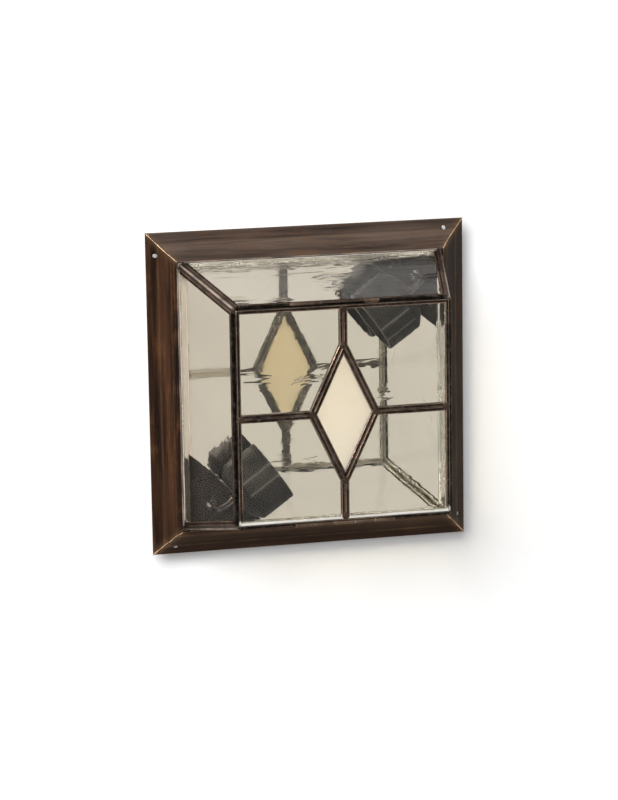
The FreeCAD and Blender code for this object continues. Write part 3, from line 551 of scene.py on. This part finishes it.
def channel_ring(outline, wobble, seed, step=4.0, foot=None):
    """A U-channel bent round an outline, mitred at its corners. Gives points, faces and rubbing, which on the
    lips is also a painted highlight. The lips of the first edge reach in as far as foot. Each point's place in the
    section comes too."""
    shrink = (foot - channel_web) / (channel_face - channel_web) if foot else 1.0
    loops = [inset(outline, d, channel_web + (d - channel_web) * shrink if foot and d > channel_web else None)
             for d, _ in channel_section]
    points, rub_and_sheen, places = [], [], []
    for i in range(len(outline)):
        j = (i + 1) % len(outline)
        count = max(3, round(math.dist(outline[i], outline[j]) / step))
        for k in range(count):
            for loop, (d, z), rubbed_and_highlit in zip(loops, channel_section, channel_rub_and_highlight):
                x, y = part_way(loop[i], loop[j], k / count)
                face = 1.0 if 0.3 < d < 3.6 and (z < 0.5 or z > channel - 0.5) else 0.0
                lift = abs(wobble * face * waver((x, y, z * 3.0), 7.0, seed))
                points.append((x, y, z + lift if z < 1.0 else z - lift))
                rub_and_sheen.append(rubbed_and_highlit)
                places.append((i, d, z))
    around = len(channel_section)
    return points, [face[::-1] for face in tube_faces(len(points) // around, around, True)], rub_and_sheen, places


# Channel metal: dark patina, with pale tinned metal where the paleness mark is set. The mark is set per side and per
# face where bright lines and reflections fall, so it is partly tinning and partly painted highlight and painted
# reflection.
came_look = metal("bronze_channel_tinned_and_highlit", (0.007, 0.0045, 0.003), (0.80, 0.79, 0.73), (0.62, 0.42, 0.30),
                  (0.050, 0.028, 0.014), 0.28, toned=True, bump=0.14, metallic=0.85, cloudy=0.06)
# Wall channels' paleness: the foot of the latch and left walls, which face the light, a level for each side on the
# outer faces, and more on the hinge wall's far edge. Partly tinning, partly painted highlight.
wall_foot_face, foot_tin_and_highlight = 1.8, 0.75
slender_foot, slenderness = "left", 0.012
side_tin_and_highlight = {"latch": 0.30, "right": 0.45, "hinge": 0.45, "left": 0.30}
hinge_corner_tin_and_highlight = 0.7
for quarters, side in enumerate(SIDES):
    points, faces, rub_and_sheen, places = channel_ring(wall_outline(), 0.12, quarters + 11, foot=wall_foot_face)
    tone_and_painted_light = [foot_tin_and_highlight if edge == 0 and d > 0.4 and (z < 2.0 or side in ("latch", "left")) else
            (hinge_corner_tin_and_highlight if side == "hinge" and edge == 2 else side_tin_and_highlight[side])
            if z < 2.0 and (d > 0.4 or edge in (1, 3)) else 0.0
            for edge, d, z in places]
    rub_and_sheen = [bright if z > 2.0 else 0.0 for bright, (_, _, z) in zip(rub_and_sheen, places)]
    shaped = []
    for (x, y, z), (part, _, _) in zip(points, places):
        if part == 0 and side == slender_foot:
            z = max(z, between(channel - lip, z, slenderness))
        for edge, level in ((-level_skew, -z * math.tan(taper)), (slope - level_skew, slope - z * math.tan(taper))):
            away = abs(y - edge)
            if away < channel_web:
                y += (level - edge) * (1.0 - away / channel_web)
                break
        shaped.append(wall_place((x, y, z), quarters))
    piece("channel_wall_" + side, shaped, faces, came_look, "housing",
          ["wall_channel_" + side], rub_and_sheen, tone_and_painted_light=tone_and_painted_light)

# Door: four five-sided panes of the same rolled glass round a diamond of cream
# opalescent glass, each in its own channel, soldered side by side.
door_half = wall_inner_half + channel / cosine - wall_lean - 3.3
door_front = -134.0
rim_inside = 92.5
# Door channels' paleness: the rim's inner faces and its outer face along the bottom edge, the other inner faces, and
# more on the left part of the cross bar. Partly tinning, partly painted highlight and painted reflection, the inner
# faces being seen in the mirror.
rim_tin_and_highlight, inside_tin_and_reflection, cross_bar_tin_and_reflection = 0.80, 0.22, 0.88
diamond_w, diamond_h = 29.0, 61.0
quarter_pane = [(-door_half, -door_half), (0.0, -door_half), (0.0, -diamond_h), (-diamond_w, 0.0), (-door_half, 0.0)]
flipped = [(-x, y) for x, y in quarter_pane][::-1]
door_outlines = {"latch_left": quarter_pane, "latch_right": flipped,
                 "hinge_right": [(-x, -y) for x, y in quarter_pane], "hinge_left": [(-x, -y) for x, y in flipped],
                 "diamond": [(0.0, -diamond_h), (diamond_w, 0.0), (0.0, diamond_h), (-diamond_w, 0.0)]}
door_sheets = {"latch_left": ("rolled_glass_one", (0.89, 0.865, 0.80), 0.030, 0.12, [(1, -0.035, 0.012, 1.1)]),
               "latch_right": ("rolled_glass_two", (0.885, 0.865, 0.80), 0.06, 0.8, [(1, -0.015, 0.012, 0.8)], 0.6),
               "hinge_right": ("rolled_glass_three", (0.88, 0.865, 0.80), 0.03, 0.15, []),
               "hinge_left": ("rolled_glass_four", (0.885, 0.865, 0.80), 0.03, 0.2, [(1, 0.045, 0.010, 0.12)])}

opal, tree, place = surface("opal_cream")
swirl = speckle(place, 30.0, 5.0, twist=2.2)
milk = mix(spread(axes(place)[1], -0.060, 0.02), (0.78, 0.70, 0.57), (0.86, 0.82, 0.815))
pale = mix(swirl, milk, (0.90, 0.86, 0.85))
veined = speckle(mapped(place, (1.0, 0.2, 1.0)), 120.0, 3.0)
amber = mix(veined, (0.98, 0.78, 0.38), (0.98, 0.90, 0.60))
shade(opal, {"Base Color": mix(marked(tree, "tone_and_painted_light"), pale, amber), "Roughness": 0.50,
             "Transmission Weight": 0.75, "IOR": 1.30, "Coat Weight": 0.3}, swirl, 0.4, 0.0005)

for number, (name, outline) in enumerate(door_outlines.items()):
    outline = inset(outline, 0.04)
    points, faces = wavy_pane(inset(outline, channel_web + putty), door_front + lip + putty, glass,
                              0.05 if name == "diamond" else 0.02, number + 20, 2.2)
    look, slot = opal, "cream_glass"
    if name in door_sheets:
        look, slot = rolled_glass(*door_sheets[name]), "wavy_glass"
    piece("pane_" + name, points, faces, look, "door", ["door_glass_" + name],
          tone_and_painted_light=[float(z > door_front + channel / 2) for x, y, z in points])
    points, faces, rub_and_sheen, places = channel_ring(outline, 0.12, number + 31, 3.0)
    tone_and_painted_light = []
    for (x, y, z), (_, d, up) in zip(points, places):
        rim = max(abs(x), abs(y)) > rim_inside
        cross_bar = cross_bar_tin_and_reflection * max(0.0, min(1.0, (-47.0 - x) / 10.0)) if abs(y) < 5.0 else 0.0
        tone_and_painted_light.append(rim_tin_and_highlight if rim and (up > 3.0 and d > 0.4 or up < 1.0 and rim_inside < y < door_half - 1.6) else
                    inside_tin_and_reflection + cross_bar if up > 3.0 else 0.0)
    rub_and_sheen = [bright if z < 3.0 else 0.0 for bright, (x, y, z) in zip(rub_and_sheen, points)]
    points = [(x, y, z + door_front) for x, y, z in points]
    piece("channel_" + name, points, faces, came_look, "door", ["door_channel_" + name], rub_and_sheen,
          tone_and_painted_light=tone_and_painted_light)

# Ridges: solder run into the notch between two walls and drawn out to a round,
# uneven bead that stands between the channels' bright lips, with painted highlight
# lines along its crown and its two edges.
solder_look = metal("solder_patinated", (0.010, 0.007, 0.005), (0.040, 0.028, 0.022), (0.60, 0.50, 0.40),
                    (0.09, 0.05, 0.03), 0.26, bump=0.5)
ridge_across, ridge_steps = 15, 90


def ridge_point(angle, out, t):
    """A point of the ridge between the latch and right walls: angle across it, distance from its foot, share
    along it."""
    to_latch, to_right = Vector((0.0, -cosine, -sine)), Vector((cosine, 0.0, -sine))
    middle = (to_latch + to_right).normalized()
    side = (to_right - to_latch).normalized()
    half = to_latch.angle(to_right) / 2
    down = Vector((-sine, sine, -cosine)).normalized()
    foot = Vector((wall_inner_half, -wall_inner_half, wall_base)) + middle * (0.08 / math.sin(half))
    flat = foot + middle * (out * math.cos(angle * half)) + side * (out * math.sin(angle * half))
    return flat + down * ((wall_base - flat.z + (wall_front - wall_base) * t) / down.z)


for quarters in range(4):
    points, rub_and_sheen = [], []
    for i in range(ridge_steps + 1):
        t = i / ridge_steps
        for j in range(ridge_across):
            angle = 2.0 * j / (ridge_across - 1) - 1.0
            bead = math.cos(angle * math.pi * 0.5) ** 2
            lump = 0.22 * waver((i * 0.9, angle * 4.0, quarters * 40.0), 5.0, 41) * bead
            out = 4.45 + 0.35 * bead + lump - 0.25 * (0.35 < abs(angle) < 0.75)
            points.append(turn(ridge_point(angle, out, t), quarters))
            # Painted highlights: a bright line along the bead's crown and at its two edges.
            rub_and_sheen.append(min(1.0, bead ** 6 * 0.8 + (0.35 if abs(angle) > 0.9 else 0.0)))
        points.append(turn(ridge_point(0.0, 0.4, t), quarters))
        rub_and_sheen.append(0.0)
    piece("ridge_" + SIDES[quarters], points, tube_faces(ridge_steps + 1, ridge_across + 1), solder_look, "housing",
          ["wall_ridge_solder"] if quarters == 0 else (), rub_and_sheen, 50.0)

# Base solder: a fillet between the frame's lip and the foot of each wall. It runs
# right into the corners under the ridges.
fillet = [(124.9, -21.75), (125.45, -22.1), (125.2, -22.75), (124.75, -23.3), (124.15, -23.4), (123.9, -22.9),
          (124.3, -21.75)]
fillet_rub = (0.0, 0.9, 0.5, 0.2, 0.1, 0.0, 0.0)
fillet_steps, fillet_half = 120, 119.0
for quarters in range(4):
    points = []
    for i in range(fillet_steps + 1):
        x = (2.0 * i / fillet_steps - 1.0) * fillet_half
        for k, (r, z) in enumerate(fillet):
            lump = 0.14 * waver((x, k * 3.0, quarters * 30.0), 5.0, 51)
            points.append(turn((x, -(r - abs(lump) * 0.4), z + lump * (1 if 0 < k < 5 else 0)), quarters))
    piece("foot_solder_" + SIDES[quarters], points, tube_faces(fillet_steps + 1, len(fillet)), solder_look, "housing",
          ["wall_base_solder"] if quarters == 0 else (), fillet_rub * (fillet_steps + 1))

# Joint solder: a low button of solder wherever the door's channels meet, melted
# round and left a little uneven.
joint_reach, joint_rise, rim_joint = 3.3, 0.5, 93.5
points, faces, rub_and_sheen = [], [], []
joint_places = [(0.0, -diamond_h), (diamond_w, 0.0), (0.0, diamond_h), (-diamond_w, 0.0), (0.0, -rim_joint),
                (rim_joint, 0.0), (0.0, rim_joint), (-rim_joint, 0.0)]
rings, around = 7, 24
for number, (cx, cy) in enumerate(joint_places):
    base = len(points)
    for ring in range(rings):
        reach = joint_reach * (1.0 - ring / rings)
        rise = joint_rise * math.cos(reach / joint_reach * math.pi / 2)
        for c, s in circle(around):
            out = reach * (1.0 + 0.10 * waver((c * 4, s * 4, number * 9.0), 3.0, 61))
            points.append((cx + out * c, cy + out * s, door_front + 0.02 - rise))
    points.append((cx, cy, door_front - joint_rise))
    rub_and_sheen += [0.05] * rings * around + [0.1]
    faces += dome(base, rings, around) + [tuple(range(base, base + around))[::-1]]
joint_look = metal("bronze_channel", (0.008, 0.005, 0.003), (0.030, 0.019, 0.012), (0.46, 0.33, 0.24),
                   (0.070, 0.032, 0.014), 0.30, bump=0.35)
piece("joint_solder", points, faces, joint_look, "door", ["door_solder_joints"], rub_and_sheen, 60.0)

# Hinge and bolt tubes: drawn brass tube, dark with age, each with solder run
# along it where it stands on a wall's edge or on the door's rim.
brass_look = metal("brass_aged", (0.009, 0.006, 0.004), (0.030, 0.019, 0.012), (0.42, 0.29, 0.20),
                   (0.060, 0.034, 0.018), 0.32, bump=0.4)
tube_y, tube_z = 99.4, -130.6


def tube_points(x0, x1, y, radius, bore, number):
    """A tube along X with its ends rolled over, as one closed shell."""
    profile = [(x0 + 0.25, bore), (x0, bore + 0.15), (x0, radius - 0.15), (x0 + 0.2, radius)]
    steps = max(4, round((x1 - x0) / 1.5))
    profile += [(between(x0 + 0.5, x1 - 0.5, k / steps), radius - 0.03) for k in range(steps + 1)]
    profile += [(x1 - 0.2, radius), (x1, radius - 0.15), (x1, bore + 0.15), (x1 - 0.25, bore)]
    around = 28
    points, rub_and_sheen = [], []
    for c, s in circle(around):
        for x, r in profile:
            dent = 1.0 + 0.02 * waver((x, c * 3, s * 3 + number * 8.0), 4.0, 71) * (r > bore + 0.2)
            reach = min(r * dent, radius)
            points.append((x, y + reach * c, tube_z + reach * s))
            rub_and_sheen.append(1.0 if r > bore + 0.1 and (x < x0 + 0.3 or x > x1 - 0.3) else 0.25)
    return points, tube_faces(around, len(profile), True), rub_and_sheen


def fillet_points(x0, x1, foot, number):
    """Solder along a tube: foot is its section as (y, z) pairs, in order round it."""
    points = []
    steps = max(6, round((x1 - x0) / 1.2))
    middle = [sum(axis) / len(foot) for axis in zip(*foot)]
    for k in range(steps + 1):
        x = between(x0, x1, k / steps)
        swell = 0.86 + 0.12 * waver((x, number * 5.0, 0.0), 3.0, 81)
        points += [(x, *part_way(middle, place, swell)) for place in foot]
    return points, tube_faces(steps + 1, len(foot)), [0.3] * len(points)


def joined(parts):
    """Several closed shells as one piece's points, faces and rubbing."""
    points, faces, rub_and_sheen = [], [], []
    for more, sides, bright in parts:
        base = len(points)
        points += more
        rub_and_sheen += bright
        faces += [tuple(base + i for i in face) for face in sides]
    return points, faces, rub_and_sheen


def tube_set(name, spans, side, on_door, node, body):
    parts = []
    y = side * tube_y
    radius = 1.6 if on_door else 1.9
    foot = [(y - 1.3, -128.72), (y - 0.8, -129.5), (y + 0.8, -129.5), (y + 1.3, -128.72)]
    if on_door:
        near, far = side * 97.25, side * 98.3
        foot = [(near, tube_z - 0.95), (far, tube_z - 0.7), (far, tube_z + 0.7), (near, tube_z + 0.95)]
    for number, (x0, x1) in enumerate(spans):
        parts.append(tube_points(x0, x1, y, radius, 0.96, number))
        parts.append(fillet_points(x0 + 0.6, x1 - 0.6, foot, number))
    points, faces, rub_and_sheen = joined(parts)
    piece(name, points, faces, brass_look, body, [node], rub_and_sheen, 40.0).data.shade_smooth()


knuckles = [(-45.6 + 18.3 * k, -27.6 + 18.3 * k) for k in range(5)]
tube_set("hinge_tubes_wall", knuckles[0::2], 1, False, "wall_hinge_tubes", "housing")
tube_set("hinge_tubes_door", knuckles[1::2], 1, True, "door_hinge_tubes", "door")
tube_set("bolt_tube_wall", [(-46.0, -19.0)], -1, False, "bolt_guide_tube", "housing")
tube_set("bolt_tube_door", [(20.5, 33.0)], -1, True, "bolt_keeper_tube", "door")
dress(brass_look, "hinge_pin")


def wire(points, radius, sides=14):
    """A round wire along a close line of points in millimetres, with rounded ends."""
    ways = [(Vector(b) - Vector(a)).normalized() for a, b in zip(points, points[1:])]
    ways = [ways[0]] + [(a + b).normalized() for a, b in zip(ways, ways[1:])] + [ways[-1]]
    made, rub_and_sheen = [], []
    across = ways[0].orthogonal().normalized()
    cap = ((1.0, 0.05), (0.7, 0.55), (0.35, 0.85))
    line = [(Vector(points[0]) + ways[0] * radius * (1 - c), radius * s, ways[0]) for c, s in cap]
    line += [(Vector(p), radius, w) for p, w in list(zip(points, ways))[1:-1]]
    line += [(Vector(points[-1]) - ways[-1] * radius * (1 - c), radius * s, ways[-1]) for c, s in cap[::-1]]
    for number, (centre, size, way) in enumerate(line):
        across = (across - way * across.dot(way)).normalized()
        other = way.cross(across)
        made += [tuple(centre + (across * c + other * s) * size) for c, s in circle(sides)]
        rub_and_sheen += [0.9 if number < 3 or number > len(line) - 4 else 0.2] * sides
    return made, tube_faces(len(line), sides), rub_and_sheen


# Bolt: one brass wire that slides in the wall's tube and through the door's, with
# a handle soldered to it that runs out and curls over to the left.
bolt_x, bolt_tip, bolt_back = -1.3, 34.0, -46.3
hook_radius, hook_arc = 2.2, 215.0
straight = [(bolt_back + 0.9 * k, -tube_y, tube_z) for k in range(90)] + [(bolt_tip, -tube_y, tube_z)]
handle = [(bolt_x, -tube_y - 0.5 * k, tube_z) for k in range(15)]
for k in range(22):
    a = math.radians(hook_arc * k / 21)
    handle.append((bolt_x - hook_radius * (1.0 - math.cos(a)), -tube_y - 7.3 - hook_radius * math.sin(a), tube_z))
stop_head = wire([(x, -tube_y, tube_z) for x in (-47.5, -47.2, -46.6, bolt_back)], 1.5, 20)
collar = wire([(bolt_x, -tube_y - out, tube_z) for out in (-0.2, 0.2, 0.9, 1.2)], 0.95)
points, faces, rub_and_sheen = joined((wire(straight, 0.9), wire(handle, 0.8), stop_head, collar))
wire_look = metal("wire_aged", (0.006, 0.0045, 0.003), (0.020, 0.014, 0.010), (0.30, 0.21, 0.15),
                  (0.040, 0.024, 0.013), 0.30)
piece("bolt_wire", points, faces, wire_look, "bolt", ["door_bolt"], rub_and_sheen, 50.0)

# Lamp holders: black moulded phenolic with a wide skirt and a flat raised band
# along its underside, where the two halves of the mould met. Pale painted highlight
# lines run along the band's edges and round the skirt's mouth.
moulding, tree, place = surface("phenolic_black")
flow = speckle(place, 45.0, 5.0)
black = mix(flow, (0.006, 0.0055, 0.005), (0.016, 0.0145, 0.013))
shade(moulding, {"Base Color": mix(marked(tree, "rub_and_sheen"), black, (0.10, 0.095, 0.09)), "Specular IOR Level": 0.12,
                 "Roughness": spread(flow, 0.3, 0.7, 0.66, 0.54)}, speckle(place, 700.0, 3.0), 0.03, 0.0003)

holder_turn = math.radians(10.0)
corner_half = wall_inner_half - 1.475
altitude = 66.0 / math.sqrt(2.0)
lamp_level = -52.5


def corner_place(inward, aside, z, lamp):
    """A point seen from a lamp's corner of the mirror, inward along the diagonal."""
    half = math.sqrt(0.5)
    return turn((-corner_half + half * (inward + aside), corner_half + half * (aside - inward), z), 2 * lamp)


def lamp_place(along, aside, z, lamp):
    """A point of a lamp's own frame: along its axis from the bracket's tab, aside of it, and height."""
    c, s = math.cos(holder_turn), math.sin(holder_turn)
    return corner_place(altitude + along * c - aside * s, 5.7 + along * s + aside * c, z, lamp)


def lathe(profile, lamp, around, shape, bright=lambda *place: 0.0):
    """A closed body turned about a lamp's axis, from (along, radius) pairs in order round its section."""
    points, rub_and_sheen = [], []
    for k in range(around):
        a = 2.0 * math.pi * k / around
        for along, radius in profile:
            r = shape(along, radius, a)
            points.append(lamp_place(along, r * math.sin(a), lamp_level - r * math.cos(a), lamp))
            rub_and_sheen.append(bright(along, radius, a))
    return points, tube_faces(around, len(profile), True), rub_and_sheen


skirt = [(0.05, 0.02), (0.05, 21.2), (0.35, 21.8), (1.2, 22.4), (4.5, 26.0), (7.6, 29.2), (8.6, 29.75)]
skirt += [(9.5 + k, 30.0) for k in range(0, 26, 2)]
skirt += [(36.0, 30.0), (36.3, 29.6), (37.3, 29.6), (37.6, 30.0), (39.0, 30.0), (41.2, 30.0), (41.75, 29.75),
          (42.0, 29.3), (42.0, 26.4), (41.7, 26.0), (36.0, 26.0), (34.9, 25.6), (34.55, 24.8), (34.5, 16.4),
          (34.45, 13.9), (34.0, 13.8), (11.0, 13.8), (10.0, 13.6), (10.0, 0.02)]
band_rise, band_half = 0.35, 0.205


def off_band(angle):
    """How far an angle is from the band's middle line, which faces down and to the near side."""
    return abs((angle - math.radians(-17.0) + math.pi) % (2.0 * math.pi) - math.pi)


def band_step(along, radius, angle):
    """The skirt's radius with the raised band, seven millimetres to each side of that line."""
    rise = band_rise * min(1.0, max(0.0, 1.0 - (off_band(angle) - band_half) / 0.03))
    return radius + rise if 9.0 < along < 41.0 and radius > 29.0 else radius


# Painted highlights along the band's two edges and round the skirt's mouth.
def band_edge_highlights(along, radius, angle):
    near = max(0.0, 1.0 - abs(off_band(angle) - band_half - 0.01) / 0.05)
    rim = 0.5 if 41.5 < along and 26.2 < radius else 0.0
    return max(near * (0.75 if 9.0 < along < 41.5 and radius > 29.0 else 0.0), rim)


for lamp, number in ((0, "1"), (1, "2")):
    points, faces, rub_and_sheen = lathe(skirt, lamp, 160, band_step, band_edge_highlights)
    piece("holder_" + number, points, faces, moulding, "housing", ["lamp_holder_" + number], rub_and_sheen, 32.0)

# Screw shells: thin stamped brass with the rolled thread that the lamp goes into,
# and the sprung contact at the bottom.
shell_look = metal("brass_contact", (0.42, 0.30, 0.13), (0.68, 0.50, 0.24), (0.85, 0.68, 0.38), (0.50, 0.33, 0.14),
                   0.26, bump=0.15, metallic=1.0)
thread_pitch, thread_depth = 3.62, 0.27
thread_steps = [11.0 + 23.0 * k / 96 for k in range(97)]
shell = [(along, 13.05) for along in thread_steps]
shell += [(34.9, 13.2), (34.9, 15.4), (34.7, 15.5), (34.5, 15.4), (34.5, 13.7)]
shell += [(along, 13.40) for along in thread_steps[::-1]]


def thread(along, radius, angle):
    if radius > 13.45 or along > 33.5:
        return radius
    return radius + thread_depth * math.cos(2.0 * math.pi * along / thread_pitch + angle)


for lamp, number in ((0, "1"), (1, "2")):
    points, faces, rub_and_sheen = lathe(shell, lamp, 64, thread)
    piece("shell_" + number, points, faces, shell_look, "housing", ["screw_shell_" + number],
          rub_and_sheen, 50.0)
dress(shell_look, "centre_contacts", "earth_ring_terminal")

# Lamp brackets: folded steel sheet in dark enamel, over the mirror's clipped
# corners, chipped along their edges.
def enamel(name, dark, light, bare, roughness, gloss=0.4, under=None):
    """Enamel on steel sheet, slightly rippled, worn through along its edges. under is the colour of its lower face."""
    material, tree, place = surface(name)
    cloud = speckle(place, 28.0, 5.0)
    peel = speckle(place, 480.0, 2.0)
    coat = mix(cloud, dark, light)
    soft = add(tree, "ShaderNodeBevel", {"Radius": 0.0007}, samples=4).outputs[0]
    flat = add(tree, "ShaderNodeNewGeometry").outputs["Normal"]
    same = add(tree, "ShaderNodeVectorMath", {0: soft, 1: flat}, operation="DOT_PRODUCT").outputs["Value"]
    worn = reckon("MULTIPLY", spread(same, 0.99, 0.90), spread(peel, 0.42, 0.58), True)
    if under:
        coat = mix(reckon("LESS_THAN", axes(flat)[2], -0.5), coat, under)
    rough = spread(cloud, 0.0, 1.0, roughness + 0.12, roughness - 0.12)
    return shade(material, {"Base Color": mix(worn, coat, bare), "Metallic": worn, "Roughness": rough,
                            "Specular IOR Level": gloss}, peel, 0.12, 0.0003)


dress(enamel("enamel_dark", (0.006, 0.005, 0.0045), (0.014, 0.012, 0.010), (0.20, 0.18, 0.16), 0.58, 0.12),
      "lamp_bracket_1", "lamp_bracket_2")

# Back pan: steel sheet in pale grey enamel above and black below. It carries the
# mirror on its lower face and the wiring on its upper one.
dress(enamel("enamel_grey", (0.42, 0.41, 0.38), (0.52, 0.50, 0.47), (0.50, 0.46, 0.40), 0.40, 0.4,
             (0.035, 0.032, 0.029)), "back_pan")


# Plated fixings: nuts, spacers and the earth stud, zinc plated with a faint
# blue and yellow bloom.
def plating(name, cool, warm):
    material, tree, place = surface(name)
    bloom = speckle(place, 160.0, 4.0)
    return shade(material, {"Base Color": mix(bloom, cool, warm), "Metallic": 1.0,
                            "Roughness": spread(bloom, 0.0, 1.0, 0.42, 0.24)},
                 speckle(place, 1200.0, 2.0), 0.2, 0.0002)


zinc = plating("zinc_plate", (0.46, 0.47, 0.50), (0.66, 0.62, 0.52))
blacked = plating("blacked_steel", (0.030, 0.031, 0.034), (0.070, 0.064, 0.056))
dress(zinc, "bracket_nuts", "bracket_spacers", "earth_stud", "earth_nut")

# Screws: slotted cheese heads, all of them from one tree that sets a screw on
# each point of a set, along the direction that the point carries.
screw_sizes = {"Head radius": 0.0029, "Head height": 0.0018, "Shank radius": 0.0015, "Shank length": 0.008}


def screw_tree():
    tree = bpy.data.node_groups.new("screws_on_points", "GeometryNodeTree")
    tree.interface.new_socket("Geometry", in_out="INPUT", socket_type="NodeSocketGeometry")
    for name, value in screw_sizes.items():
        tree.interface.new_socket(name, in_out="INPUT", socket_type="NodeSocketFloat").default_value = value
    tree.interface.new_socket("Finish", in_out="INPUT", socket_type="NodeSocketMaterial")
    tree.interface.new_socket("Geometry", in_out="OUTPUT", socket_type="NodeSocketGeometry")
    given = tree.nodes.new("NodeGroupInput").outputs
    wide, tall, long = given["Head radius"], given["Head height"], given["Shank length"]

    def times(value, factor):
        return reckon("MULTIPLY", value, factor)

    def vector(*parts):
        return add(tree, "ShaderNodeCombineXYZ", enumerate(parts)).outputs[0]

    def raised(shape, height):
        return add(tree, "GeometryNodeTransform",
                   {"Geometry": shape.outputs["Mesh"], "Translation": vector(0.0, 0.0, height)}).outputs[0]

    head = add(tree, "GeometryNodeMeshCone", {"Vertices": 28, "Side Segments": 3, "Depth": tall,
                                              "Radius Top": times(wide, 0.82), "Radius Bottom": wide})
    slot = add(tree, "GeometryNodeMeshCube", {"Size": vector(times(wide, 2.4), times(wide, 0.26), tall)})
    slotted = add(tree, "GeometryNodeMeshBoolean", {0: head.outputs["Mesh"], 1: raised(slot, times(tall, 1.05))},
                  operation="DIFFERENCE", solver="EXACT")
    shank = add(tree, "GeometryNodeMeshCylinder", {"Vertices": 20, "Side Segments": 8, "Radius": given["Shank radius"],
                                                   "Depth": long})
    screw = add(tree, "GeometryNodeJoinGeometry")
    for part in (slotted.outputs[0], raised(shank, times(long, -0.5))):
        tree.links.new(part, screw.inputs[0])
    way = add(tree, "GeometryNodeInputNamedAttribute", {"Name": "way"}, data_type="FLOAT_VECTOR")
    facing = add(tree, "FunctionNodeAlignRotationToVector", {"Vector": way.outputs["Attribute"]}, axis="Z")
    spin = add(tree, "FunctionNodeRandomValue", {"Seed": 4, 3: 3.14}, data_type="FLOAT")
    turned = add(tree, "FunctionNodeRotateRotation", rotation_space="LOCAL",
                 inputs={"Rotation": facing.outputs[0], "Rotate By": vector(0.0, 0.0, spin.outputs[1])})
    seats = add(tree, "GeometryNodeInstanceOnPoints",
                {"Points": given["Geometry"], "Instance": screw.outputs[0], "Rotation": turned.outputs[0]})
    real = add(tree, "GeometryNodeRealizeInstances", {"Geometry": seats.outputs[0]})
    finish = add(tree, "GeometryNodeSetMaterial", {"Geometry": real.outputs[0], "Material": given["Finish"]})
    add(tree, "NodeGroupOutput", {"Geometry": finish.outputs[0]})
    return tree


screws = screw_tree()


def screw_set(name, seats, sizes, finish, node):
    """Screws on seats of (place, direction of the head), both in millimetres. sizes are the tree's four."""
    cloud = bpy.data.meshes.new(name + "_seats")
    cloud.from_pydata([[c * 0.001 for c in place] for place, _ in seats], [], [])
    ways = [c for _, way in seats for c in way]
    cloud.attributes.new("way", "FLOAT_VECTOR", "POINT").data.foreach_set("vector", ways)
    made = placed(name, cloud)
    setting = made.modifiers.new("screws", "NODES")
    setting.node_group = screws
    sockets = {item.name: item.identifier for item in screws.interface.items_tree if item.in_out == "INPUT"}
    for key, value in zip(screw_sizes, sizes):
        setting[sockets[key]] = value * 0.001
    setting[sockets["Finish"]] = finish
    mesh = baked(made, setting)
    mesh.name = name
    smooth(mesh, 30.0)
    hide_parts(node)
    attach(made, "housing")


pan_seats = [(turn((x, -123.2, -9.5), k), turn((0.0, 1.0, 0.0), k)) for x in (-70.0, 70.0) for k in range(4)]
screw_set("screws_pan", pan_seats, (2.8, 1.5, 1.38, 5.7), zinc, "pan_screws")
plate_seats = [(corner_place(35.0, aside, -23.6, lamp), (0.0, 0.0, -1.0))
               for lamp in (0, 1) for aside in (-26.0, 26.0)]
screw_set("screws_plate", plate_seats, (2.9, 1.8, 1.49, 9.4), blacked, "bracket_screws")
tab_seats = []
for lamp in (0, 1):
    way = (Vector(lamp_place(-2.1, 0.0, 0.0, lamp)) - Vector(lamp_place(0.0, 0.0, 0.0, lamp))).normalized()
    tab_seats += [(lamp_place(-2.1, 0.0, lamp_level + rise, lamp), tuple(way)) for rise in (-10.0, 10.0)]
screw_set("screws_tab", tab_seats, (2.9, 1.8, 1.49, 7.9), blacked, "holder_screws")


# Leads: stranded copper in plain plastic, brown and blue, laid on the pan under
# saddles and down through the grommets. The earth lead is green and yellow.
def insulation(name, colour, stripe=None):
    material, tree, place = surface(name)
    scuff = speckle(place, 220.0, 4.0)
    tint = mix(scuff, colour, [min(1.0, c * 1.5 + 0.01) for c in colour])
    if stripe:
        flat = add(tree, "ShaderNodeNewGeometry").outputs["Normal"]
        tint = mix(reckon("GREATER_THAN", axes(flat)[2], 0.25), tint, stripe)
    rough = spread(scuff, 0.0, 1.0, 0.36, 0.52)
    return shade(material, {"Base Color": tint, "Roughness": rough}, scuff, 0.15, 0.0002)


dress(insulation("lead_brown", (0.018, 0.010, 0.007)), "lamp_1_lead_live", "lamp_2_lead_live")
dress(insulation("lead_blue", (0.006, 0.008, 0.014)), "lamp_1_lead_neutral", "lamp_2_lead_neutral")
dress(insulation("lead_earth", (0.045, 0.20, 0.045), (0.62, 0.50, 0.04)), "earth_lead")
dress(insulation("rubber_black", (0.012, 0.012, 0.012)), "lead_grommets")

# Terminal block and saddles: natural nylon, which is slightly see-through at its edges,
# here given an opaque finish, with plated screws.
dress(insulation("nylon_natural", (0.62, 0.59, 0.50)), "terminal_block", "lead_saddles")
dress(zinc, "terminal_screws")
